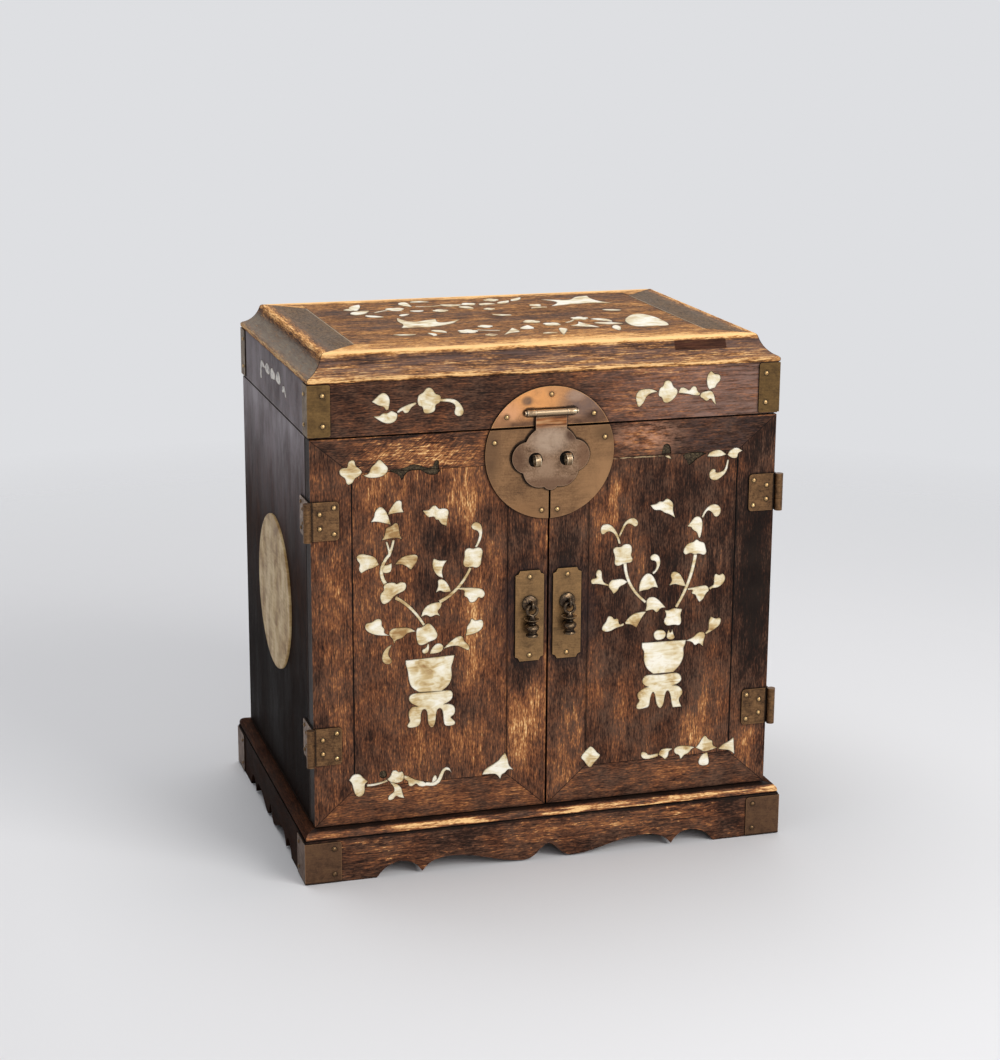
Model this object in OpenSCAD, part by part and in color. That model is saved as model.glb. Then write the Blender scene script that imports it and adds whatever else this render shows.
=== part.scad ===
// Inlaid table cabinet: a chest on a plinth with a hinged lid over a tray,
// two framed doors over five drawers, brass mounts and shell inlay.
// Millimetres, +Z up, the doors face -Y. The origin is on the floor, in the
// middle of the space that the closed chest takes.

/* [Body] */
// Width across the side panels
body_w = 334; // [310:1:370]
// Depth from the face of the doors to the back
body_d = 236.6; // [215:0.2:265]
// Height of the line where the lid opens
lid_line_z = 312; // [300:1:330]
// Thickness of the side panels
side_t = 12; // [10:0.5:15]
// Thickness of the back panel
back_t = 10; // [8:0.5:13]
// Thickness of the bottom board
floor_t = 8; // [6:0.5:10]
// Thickness of the shelves between the drawers
shelf_t = 6; // [5:0.5:8]
// How far boards are let into the side panels
dado = 3; // [2:0.5:4]

/* [Plinth] */
// Height of the plinth
base_h = 38; // [32:0.5:46]
// How far the plinth stands out from the body
overhang = 8.2; // [6:0.2:12]
// How far the aprons reach in under the bottom board
seat = 3; // [2:0.5:5]
// Height of the rounded bead along the top edge
bead_h = 6.5; // [5:0.5:9]
// Height of the arches cut in the lower edge
arch_h = 10.5; // [6:0.5:14]
// Length of a foot, from a corner to the first arch
foot_l = 50; // [40:1:60]
// Width of a corner cap along each face
cap_w = 25; // [18:0.5:32]
// Thickness of the sheet brass of the corner caps
cap_t = 0.8; // [0.6:0.1:1.2]

/* [Lid] */
// Height of the boards round the lid
lid_board_h = 36.5; // [32:0.5:42]
// Thickness of the boards round the lid
lid_t = 11; // [9:0.5:14]
// Gap between the lid and the body
lid_gap = 1.2; // [0.8:0.1:1.6]
// Height of the moulded rails on top
top_h = 18; // [15:0.5:22]
// How far the top face lies in from the body's faces
top_inset = 13; // [10:0.5:16]
// How far the lower lip of the moulding stands out
lip = 1; // [0.5:0.1:1.6]
// Height of the lip
lip_h = 3.4; // [2.4:0.2:4]
// Width of the top face of the front rail
top_front_w = 46; // [36:1:52]
// Width of the top face of the side rails
top_side_w = 28; // [22:1:34]
// Width of the top face of the back rail
top_back_w = 13; // [11:1:24]
// Thickness of the panel in the top
top_panel_t = 8; // [7:0.5:10]

/* [Tray] */
// Depth of the tray under the lid
tray_depth = 52; // [44:1:60]
// Thickness of the tray's floor
tray_floor_t = 6; // [5:0.5:8]
// Thickness of the board across the front of the tray
tray_front_t = 9; // [7:0.5:11]

/* [Doors] */
// Thickness of the door frames
door_t = 14; // [13:0.5:16]
// Gap between the two doors
door_gap = 1.5; // [1.4:0.1:2.2]
// Gap above and below the doors
door_edge_gap = 0.6; // [0.5:0.1:1]
// Gap between the doors and the body behind them
door_back_gap = 0.4; // [0.3:0.1:0.8]
// Width of the stiles
stile_w = 28.4; // [24:0.2:34]
// Width of the top rail
top_rail_w = 24; // [20:0.5:30]
// Width of the bottom rail
bottom_rail_w = 25.4; // [20:0.2:30]
// Thickness of the door panel
panel_t = 8.5; // [8:0.5:9.5]
// Joint line left open round the door panel
panel_gap = 0.35; // [0.2:0.05:0.6]
// Length of the panel's tongue in the frame's groove
tongue_l = 4; // [3:0.5:6]
// Thickness of the panel's tongue
tongue_t = 3.8; // [3:0.2:4.4]

/* [Hinges] */
// Height of a door hinge
hinge_h = 26.5; // [22:0.5:32]
// Distance of the upper door hinges' middle below the lid line
hinge_up = 56; // [50:0.5:66]
// Distance of the lower door hinges' middle above the plinth
hinge_low = 59; // [42:0.5:72]
// Width of the leaf on the door
door_leaf_w = 19.6; // [15:0.2:24]
// Width of the leaf on the side panel, from the face of the door
side_leaf_w = 27; // [24:0.5:34]
// Width of a lid hinge
lid_hinge_w = 34; // [26:1:44]
// Height of a lid hinge's leaf
lid_leaf_h = 22; // [16:0.5:26]
// Distance of the lid hinges from the middle
lid_hinge_x = 95; // [70:1:115]
// Thickness of the hinge leaves
leaf_t = 1.2; // [0.8:0.1:1.5]
// Radius of the hinge knuckles
knuckle_r = 2.8; // [2.4:0.1:3.2]
// Radius of the hinge pins
pin_r = 1.5; // [1.2:0.1:1.7]
// Running clearance round the hinge pins
pin_fit = 0.08; // [0.05:0.01:0.1]

/* [Lock] */
// Radius of the round lock plate
lock_r = 46; // [40:0.5:50]
// Distance of the lock plate's middle below the lid line
lock_drop = 18; // [15:0.5:21]
// Thickness of the lock plate and the pull plates
plate_t = 1.4; // [1:0.1:1.8]
// Thickness of the hasp
hasp_t = 2; // [1.6:0.1:2.6]
// Height of the hasp's pin above the lid line
hasp_pin_up = 10.5; // [9.5:0.5:13]
// Radius of the hasp's pin
hasp_pin_r = 1.1; // [0.9:0.1:1.4]
// Width of the hasp's neck
neck_w = 22; // [18:0.5:26]
// Width of the hasp across its lobes
hasp_w = 55.2; // [48:0.2:58]
// Distance of the lock staples below the hasp's pin
staple_drop = 32.5; // [30:0.5:34]
// Distance between the two lock staples
staple_gap = 22.2; // [20:0.2:24]
// Radius of the hole through a lock staple
staple_bore_r = 2.4; // [1.8:0.1:2.6]
// Thickness of a lock staple
staple_w = 3.6; // [3:0.2:4]

/* [Pulls] */
// Width of a pull plate
pull_w = 20.4; // [16:0.2:22]
// Height of a pull plate
pull_h = 65; // [54:0.5:72]
// Height of the middle of a pull plate
pull_z = 179; // [165:0.5:195]
// Distance of the pull plates from the middle
pull_x = 13.6; // [12.2:0.2:16]
// Height of the eye that the drop hangs in
pull_eye_z = 188; // [180:0.5:196]
// Length of the drop below the eye
drop_l = 22; // [18:0.5:26]

/* [Drawers] */
// Clearance round a drawer
drawer_gap = 0.6; // [0.4:0.1:1]
// Thickness of the drawer fronts
drawer_front_t = 9; // [7:0.5:11]
// Thickness of the drawer sides
drawer_side_t = 6; // [5:0.5:8]
// Thickness of the drawer bottoms
drawer_bottom_t = 4; // [3:0.5:5]
// Distance from the back of the doors to the drawer fronts
drawer_recess = 18; // [17:0.5:22]
// Height of the bottom row of drawers
row_low_h = 78; // [66:1:84]
// Height of the middle row of drawers
row_mid_h = 62; // [54:1:68]
// Thickness of the dividers between drawers
divider_t = 8; // [6:0.5:10]

/* [Inlay] */
// Thickness of the shell inlay
inlay_t = 1.4; // [1:0.1:2]
// How far worn inlay stands above the wood
inlay_proud = 0.15; // [0.1:0.05:0.3]
// Dark line of glue round each piece
inlay_gap = 0.3; // [0.1:0.05:0.4]
// Radius of the round plaque in each side
disc_r = 56.5; // [44:0.5:64]
// Height of the middle of the plaques
disc_z = 174; // [150:1:190]
// Thickness of a plaque
disc_t = 5; // [4:0.5:6]
// How far a plaque stands above the wood
disc_proud = 1.6; // [1:0.1:2.2]

/* [Nails] */
// Radius of a nail's head
nail_r = 1.7; // [1.3:0.1:2]
// Height of a nail's head
nail_h = 1; // [0.7:0.1:1.2]
// Radius of a nail's shank
shank_r = 0.8; // [0.6:0.1:1]
// Length of a nail below its head
nail_l = 6; // [4:0.5:7]
// Clearance round a nail's shank
nail_fit = 0.05; // [0.03:0.01:0.08]

/* [Hidden] */
$fn = 48;

// Colours
rosewood = [0.31, 0.17, 0.11];
dark_wood = [0.22, 0.13, 0.10];
inner_wood = [0.55, 0.40, 0.26];
old_brass = [0.52, 0.41, 0.24];
copper_brass = [0.60, 0.42, 0.28];
shell = [0.90, 0.86, 0.74];

// Pull hardware
eye_wire = 1;
eye_r = 2.4;
eye_out = 6;
loop_wire = 1.1;
loop_r = 3.6;
saucer_r = 5.6;
vase_r = 5;
rosette_r = 5.4;

// The pulls stand out in front further than the plinth does behind, so the
// body's middle lies a little behind the origin
front_reach = plate_t + eye_out + saucer_r;
back_reach = overhang + cap_t + nail_h;
mid_y = (front_reach - back_reach)/2;
front_y = mid_y - body_d/2;
back_y = mid_y + body_d/2;
half_w = body_w/2;

// Levels
case_y = front_y + door_t + door_back_gap;
apron_t = overhang + door_t + door_back_gap + seat;
lock_z = lid_line_z - lock_drop;
hasp_pin_z = lid_line_z + hasp_pin_up;
case_top = lid_line_z - lid_gap/2;
lid_bottom = lid_line_z + lid_gap/2;
lid_top = lid_bottom + lid_board_h;
top_z = lid_top + top_h;
inner_x = half_w - side_t;
tray_z = case_top - tray_depth;
shelf_low_z = base_h + floor_t + row_low_h;
shelf_mid_z = shelf_low_z + shelf_t + row_mid_h;
row_top_z = shelf_mid_z + shelf_t;
row_top_h = tray_z - tray_floor_t - row_top_z;

// Doors
door_x0 = -half_w + 0.3;
door_x1 = -door_gap/2;
door_z0 = base_h + door_edge_gap;
door_z1 = case_top;
open_x0 = door_x0 + stile_w;
open_x1 = door_x1 - stile_w;
open_z0 = door_z0 + bottom_rail_w;
open_z1 = door_z1 - top_rail_w;
panel_x = (open_x0 + open_x1)/2;
panel_z = (open_z0 + open_z1)/2;
panel_set = 0.1;
lost_depth = 0.8;
groove_fit = 0.2;
tongue_y = front_y + panel_t - tongue_t;

// Hinge axes: the door pins stand off the corner, the lid pins off the back
door_pin_x = half_w + knuckle_r - 0.4;
door_pin_y = front_y - knuckle_r + 0.4;
lid_pin_y = back_y + knuckle_r + 0.2;
leaf_corner = 2.5;
knuckle_gap = 0.3;

// Lock
plate_y = front_y - plate_t;
hasp_back_y = plate_y - 0.5;
barrel_wall = 1;
barrel_r = hasp_pin_r + barrel_wall;
hasp_pin_y = hasp_back_y - barrel_r + 0.2;
staple_z = hasp_pin_z - staple_drop;
staple_eye_r = staple_bore_r + 1.8;
staple_y = hasp_back_y - hasp_t - staple_bore_r - 1.3;
hasp_hole_r = staple_eye_r + 0.9;
eye_w = 6;
staple_shank_r = 1.4;
// The upper lock plate stops short of the lid's lower edge
plate_set = 0.5;
// Distance of the lock plate's nails from its rim
rim_inset = 5.6;

// Pulls
pull_eye_y = plate_y - eye_out;

// Drawers
drawer_y = front_y + door_t + drawer_recess;
drawer_back_y = back_y - back_t - 4;

// Extrudes a front-view outline from y0 back to y1
module slab_y(y0, y1) {
    translate([0, y1, 0]) rotate([90, 0, 0]) linear_extrude(y1 - y0) children();
}

// Extrudes a side-view outline (depth, height) from x0 to x1
module slab_x(x0, x1) {
    translate([x0, 0, 0]) rotate([90, 0, 90]) linear_extrude(x1 - x0) children();
}

// Extrudes a plan outline from z0 up to z1
module slab_z(z0, z1) {
    translate([0, 0, z0]) linear_extrude(z1 - z0) children();
}

// A box between two corners
module block(a, b) {
    translate(a) cube(b - a);
}

// The same thing on the other side, left to right
module flip_x() {
    mirror([1, 0, 0]) children();
}

// The same thing at the other end, front to back, about the body's middle
module flip_y() {
    translate([0, 2*mid_y, 0]) mirror([0, 1, 0]) children();
}

module both_sides() {
    children();
    flip_x() children();
}

// Points on a circle from angle a0 to a1
function arc(c, r, a0, a1, n) = [for (i = [0:n]) let(a = a0 + (a1 - a0)*i/n) c + r*[cos(a), sin(a)]];

// Points on a cubic curve, without its first point
function curve(a, b, c, d, n) = [for (i = [1:n]) let(t = i/n, s = 1 - t)
    s*s*s*a + 3*s*s*t*b + 3*s*t*t*c + t*t*t*d];

function flipped(pts) = [for (i = [len(pts) - 1:-1:0]) [-pts[i].x, pts[i].y]];

// INLAY OUTLINES
// A strip runs from p to q, steered by c; half(t) is its half width
function run(p, c, q, t) = (1 - t)*(1 - t)*p + 2*t*(1 - t)*c + t*t*q;
function across(p, c, q, t) = let(d = (1 - t)*(c - p) + t*(q - c)) [-d.y, d.x]/norm(d);
function strip(p, c, q, half, n) = concat(
    [for (i = [0:n]) run(p, c, q, i/n) + half(i/n)*across(p, c, q, i/n)],
    [for (i = [n:-1:0]) run(p, c, q, i/n) - half(i/n)*across(p, c, q, i/n)]);

blunt = 0.2;

function leaf(p, c, q, w) =
    strip(p, c, q, function(t) blunt + (w/2 - blunt)*pow(sin(180*pow(t, 0.85)), 0.8), 9);

function stem(p, c, q, w) = strip(p, c, q, function(t) w/2*(1 - 0.25*t), 7);

// A blossom with round lobes
function bloom(c, r, lobes, turn) = [for (i = [0:lobes*6 - 1]) let(a = 60*i/lobes)
    c + r*(0.74 + 0.26*pow(abs(cos(a*lobes/2)), 0.7))*[cos(a + turn), sin(a + turn)]];

// A sawn outline that bends round its points and is sharp at those with a third value
function sawn(pts) = let(n = len(pts)) [for (i = [0:n - 1])
    let(a = pts[(i + n - 1)%n], b = pts[(i + 1)%n], p = [pts[i].x, pts[i].y])
    each len(pts[i]) > 2 ? [p] : [for (t = [1/6, 1/2, 5/6])
        run(([a.x, a.y] + p)/2, p, ([b.x, b.y] + p)/2, t)]];

// The same outline with every edge moved out by g; its sharpest points are cut short
least_turn = 0.2;
function grown(pts, g) = let(n = len(pts), turn = [for (i = [0:n - 1]) cross(pts[i], pts[(i + 1)%n])],
    side = sign(turn*[for (v = turn) 1]),
    out = [for (i = [0:n - 1]) let(d = pts[(i + 1)%n] - pts[i]) side*[d.y, -d.x]/norm(d)])
    [for (i = [0:n - 1]) let(a = out[(i + n - 1)%n], b = out[i])
        pts[i] + g*(a + b)/max(least_turn, 1 + a*b)];

// A piece of inlay names its kind or lists the points of its outline
function outline(e) = e[0] == "leaf" ? leaf(e[1], e[2], e[3], e[4])
    : e[0] == "stem" ? stem(e[1], e[2], e[3], e[4])
    : e[0] == "bloom" ? bloom(e[1], e[2], e[3], e[4])
    : sawn(e);

// Draws a list of pieces stretched by k and moved out by g
module pieces(list, k, g = 0) {
    for (e = list) polygon(grown([for (p = outline(e)) [p.x*k.x, p.y*k.y]], g));
}

// The outlines are drawn for a chest of these sizes and stretched with it
drawn_w = 334;
drawn_d = 236.6;
drawn_door_h = 274;
drawn_board_h = 36.5;
door_art = [body_w/drawn_w, (lid_line_z - base_h)/drawn_door_h];
front_art = [body_w/drawn_w, lid_board_h/drawn_board_h];
side_art = [body_d/drawn_d, lid_board_h/drawn_board_h];
top_art = [body_w/drawn_w, body_d/drawn_d];

// Places are measured from the middle of the door's panel
left_inlay = [
    [[-18, -22, 1], [16.5, -21, 1], [15.5, -26], [14, -29], [15, -36], [13, -42], [7.5, -46, 1],
    [-8.5, -45.5, 1], [-14, -42], [-16, -36], [-16.5, -29], [-18, -25]],
    [[-0.5, -46.5], [-12.5, -46], [-16, -48], [-15.5, -52.5], [-9, -56, 1], [-14, -55.5], [-16.5, -60],
    [-15.5, -64.5], [-15, -66.5], [-17.5, -69], [-16, -71], [-9.5, -70.5], [-7.5, -68], [-7.5, -60],
    [-5, -57.5], [-2.5, -60], [-2.5, -69], [0.5, -73], [3, -69], [3.5, -60], [6, -58], [8.5, -60],
    [9, -70], [10.5, -72], [16.5, -72], [17.5, -69.5], [14.5, -67], [13.5, -65.5], [17, -64], [17, -58],
    [13, -56], [8.5, -56, 1], [13.5, -54], [15.5, -51], [15, -46.5], [10.5, -46]],
    [[-41.5, 77.5, 1], [-39, 81], [-39, 84.5], [-35, 88.5], [-30.5, 84], [-28, 75, 1], [-38, 78]],
    [[-29.5, 82, 1], [-29, 84.5], [-24, 91.5], [-20, 91], [-20.5, 86], [-19, 83, 1], [-24.5, 83]],
    [[-31, 73], [-27.5, 73.5], [-25, 76], [-22.5, 75], [-22, 68], [-20.5, 64.5, 1], [-24.5, 66],
    [-34, 64.5, 1], [-32, 67.5], [-31.5, 71]],
    [[-34.5, 42], [-30.5, 41], [-27.5, 42.5], [-27.5, 48, 1], [-30.5, 46.5], [-33, 47]],
    [[-36.5, 47.5, 1], [-38.5, 53], [-44.5, 55], [-48.5, 56], [-52, 54.5], [-51, 51], [-49, 49],
    [-50.5, 45], [-48.5, 42.5, 1], [-44.5, 45], [-40.5, 45.5]],
    [[-25, 47, 1], [-21, 51.5], [-14.5, 53], [-9, 52.5], [-9.5, 48], [-14, 42.5, 1], [-19.5, 47]],
    [[-32.5, 29], [-33.5, 33], [-29.5, 34.5], [-25, 34], [-24.5, 32.5], [-21, 34.5], [-17, 33],
    [-18, 28], [-23, 26.5], [-26.5, 24.5], [-29, 21], [-33.5, 19], [-35.5, 22.5], [-35.5, 27]],
    [[-29.5, -3, 1], [-33.5, -1], [-32.5, 2], [-35, 4], [-34.5, 9], [-38.5, 9.5], [-41.5, 7], [-46, 7],
    [-46.5, 2.5], [-41.5, -1], [-36, -2.5]],
    [[-11, -1.5, 1], [-15.5, 1.5], [-22.5, 2], [-28.5, 1.5], [-30, -2.5], [-27, -5.5], [-26, -9, 1],
    [-24.5, -6], [-20.5, -6], [-17, -2]],
    [[-28, -10, 1], [-31.5, -11.5], [-34.5, -16], [-34.5, -22], [-30, -24], [-27, -21.5], [-30, -18],
    [-30.5, -15]],
    [[-10.5, 1], [-6.5, 0.5], [-2, 4], [1.5, 1], [5, -5], [3.5, -8.5], [-1, -9.5], [-4.5, -11.5],
    [-9, -12], [-10.5, -6]],
    [[-6, -18], [-6.5, -15], [-3.5, -14.5], [-2.5, -11.5, 1], [-1.5, -11.5, 1], [-1.5, -16], [-3, -18]],
    [[-1, -18.5, 1], [0.5, -14.5], [4.5, -11], [9, -13], [8, -17.5], [3.5, -18.5]],
    [[-7, 8.5, 1], [-5.5, 13.5], [-1.5, 17], [5.5, 18], [8, 17], [6.5, 13.5], [4, 11.5], [6.5, 8, 1],
    [3.5, 9.5], [-0.5, 7.5], [-3.5, 10]],
    [[23.5, 53], [26.5, 55], [30, 53.5], [33.5, 55], [37, 53], [35.5, 46.5], [35.5, 42.5], [32.5, 40],
    [29, 41.5], [24, 41], [22.5, 44.5], [24, 48.5]],
    [[32.5, 55, 1], [35, 59], [36.5, 65], [35.5, 71], [31.5, 73], [28, 70.5], [29.5, 67.5], [32.5, 67],
    [34.5, 64], [33, 59], [31, 55, 1]],
    [[14, 25, 1], [12.5, 29.5], [9, 34], [4.5, 34], [5.5, 29.5], [3.5, 25, 1], [6.5, 26.5], [9.5, 24.5]],
    [[8.5, 35, 1], [4.5, 36.5], [1.5, 41.5], [1, 46], [2, 49, 1], [6, 47], [11, 47, 1], [8.5, 43.5],
    [7.5, 39]],
    [[19.5, 27, 1], [33.5, 26], [37.5, 24], [38.5, 20.5], [36, 18], [33.5, 20], [31.5, 16], [27, 16],
    [26.5, 19.5], [23, 21], [24.5, 25], [19.5, 26, 1]],
    [[9, -15.5, 1], [13.5, -11], [19, -7.5], [23, -8], [23, -11.5], [27.5, -15], [27, -19], [22.5, -16],
    [17, -13.5]],
    [[24.5, -7.5, 1], [25.5, -5], [25.5, -1], [28, 1.5], [28.5, 5], [31.5, 2], [36.5, 3.5], [37.5, -1],
    [35, -5], [29.5, -7]],
    [[-5.5, 83, 1], [-1, 83], [0.5, 85.5], [3.5, 86.5], [5.5, 83], [8.5, 84], [13, 82.5], [11.5, 76.5],
    [11, 71.5, 1], [7, 73], [5.5, 76.5], [3.5, 76], [2.5, 79], [-1.5, 78], [-3.5, 80]],
    [[-57, 120], [-52.5, 121.5], [-52, 116.5], [-49, 115], [-47, 112], [-50, 109.5], [-52.5, 108.5],
    [-54, 105], [-58, 104], [-58.5, 109], [-62.5, 111], [-63, 115], [-59.5, 116], [-57, 115.5]],
    [[-46.5, 110, 1], [-42.5, 110.5], [-41.5, 115], [-38, 117.5], [-35.5, 121], [-32.5, 117.5],
    [-29, 114], [-31, 110], [-35.5, 108], [-42.5, 108]],
    [[-58.5, -105, 1], [-56, -101], [-51, -101], [-48.5, -104.5], [-45.5, -107, 1], [-48, -109],
    [-47.5, -115], [-50.5, -118], [-54, -117], [-55.5, -112], [-56.5, -107]],
    [[-31.5, -107, 1], [-29, -105], [-28, -101], [-25, -101], [-23.5, -103], [-20.5, -102],
    [-19.5, -106], [-20.5, -109.5], [-24.5, -110.5], [-29, -109.5]],
    [[-19.5, -105.5, 1], [-16, -106.5], [-12, -109.5], [-6, -111], [-3, -113.5], [-4.5, -115],
    [-9, -114.5], [-11, -111.5], [-13.5, -114], [-16.5, -113.5], [-16.5, -109.5], [-19.5, -108, 1]],
    [[-4, -112, 1], [1.5, -113], [4.5, -111], [6.5, -106], [9, -102.5], [13, -102.5], [14.5, -107, 1],
    [13.5, -105], [10, -104], [8.5, -107.5], [6.5, -113], [2, -115.5], [-4, -114.5, 1]],
    [[0.5, -112.5, 1], [1, -108.5], [3.5, -107], [4, -110.5, 1], [2.5, -112]],
    [[-29.5, -109.5, 1], [-25, -111], [-21.5, -114], [-21, -118], [-19.5, -122, 1], [-23.5, -121],
    [-25.5, -119], [-27.5, -122.5], [-31.5, -122.5], [-30.5, -119], [-26.5, -117], [-26.5, -113.5]],
    [[37, -110.5, 1], [38.5, -107], [48.5, -102], [50.5, -99], [53.5, -96, 1], [55.5, -101],
    [56, -105.5], [59.5, -109, 1], [55.5, -108], [53.5, -111], [51, -111.5], [50, -115, 1], [47.5, -111],
    [42.5, -110.5]],
    ["stem", [-32, 34], [-38.5, 44], [-29, 54], 2.6],
    ["stem", [-29.5, 53], [-27.5, 57], [-26, 64], 2],
    ["stem", [-29, 55], [-29.5, 59], [-31, 63], 1.5],
    ["stem", [-25, 23.5], [-13.5, 17], [-5, 2.5], 2.3],
    ["stem", [6, 18], [20, 24], [28, 40.5], 2.3],
    ["stem", [-46, -110], [-39.5, -110.5], [-31.5, -108], 1.5]
];

// Recesses that have lost their shell
left_lost = [
    [[-28.5, 113, 1], [-22.5, 113], [-16.5, 114], [-13, 116], [-8, 115], [-4, 113], [1.5, 112.5],
    [2.5, 117], [6, 118], [5.5, 112], [7, 110], [3.5, 107], [-3, 108], [-6.5, 111.5], [-13.5, 111.5],
    [-17, 110], [-20, 105, 1], [-22.5, 109.5], [-28.5, 111.5, 1]],
    [[-37.5, -105], [-37, -100.5], [-32.5, -100], [-31.5, -104, 1], [-33.5, -106.5]]
];

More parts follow.
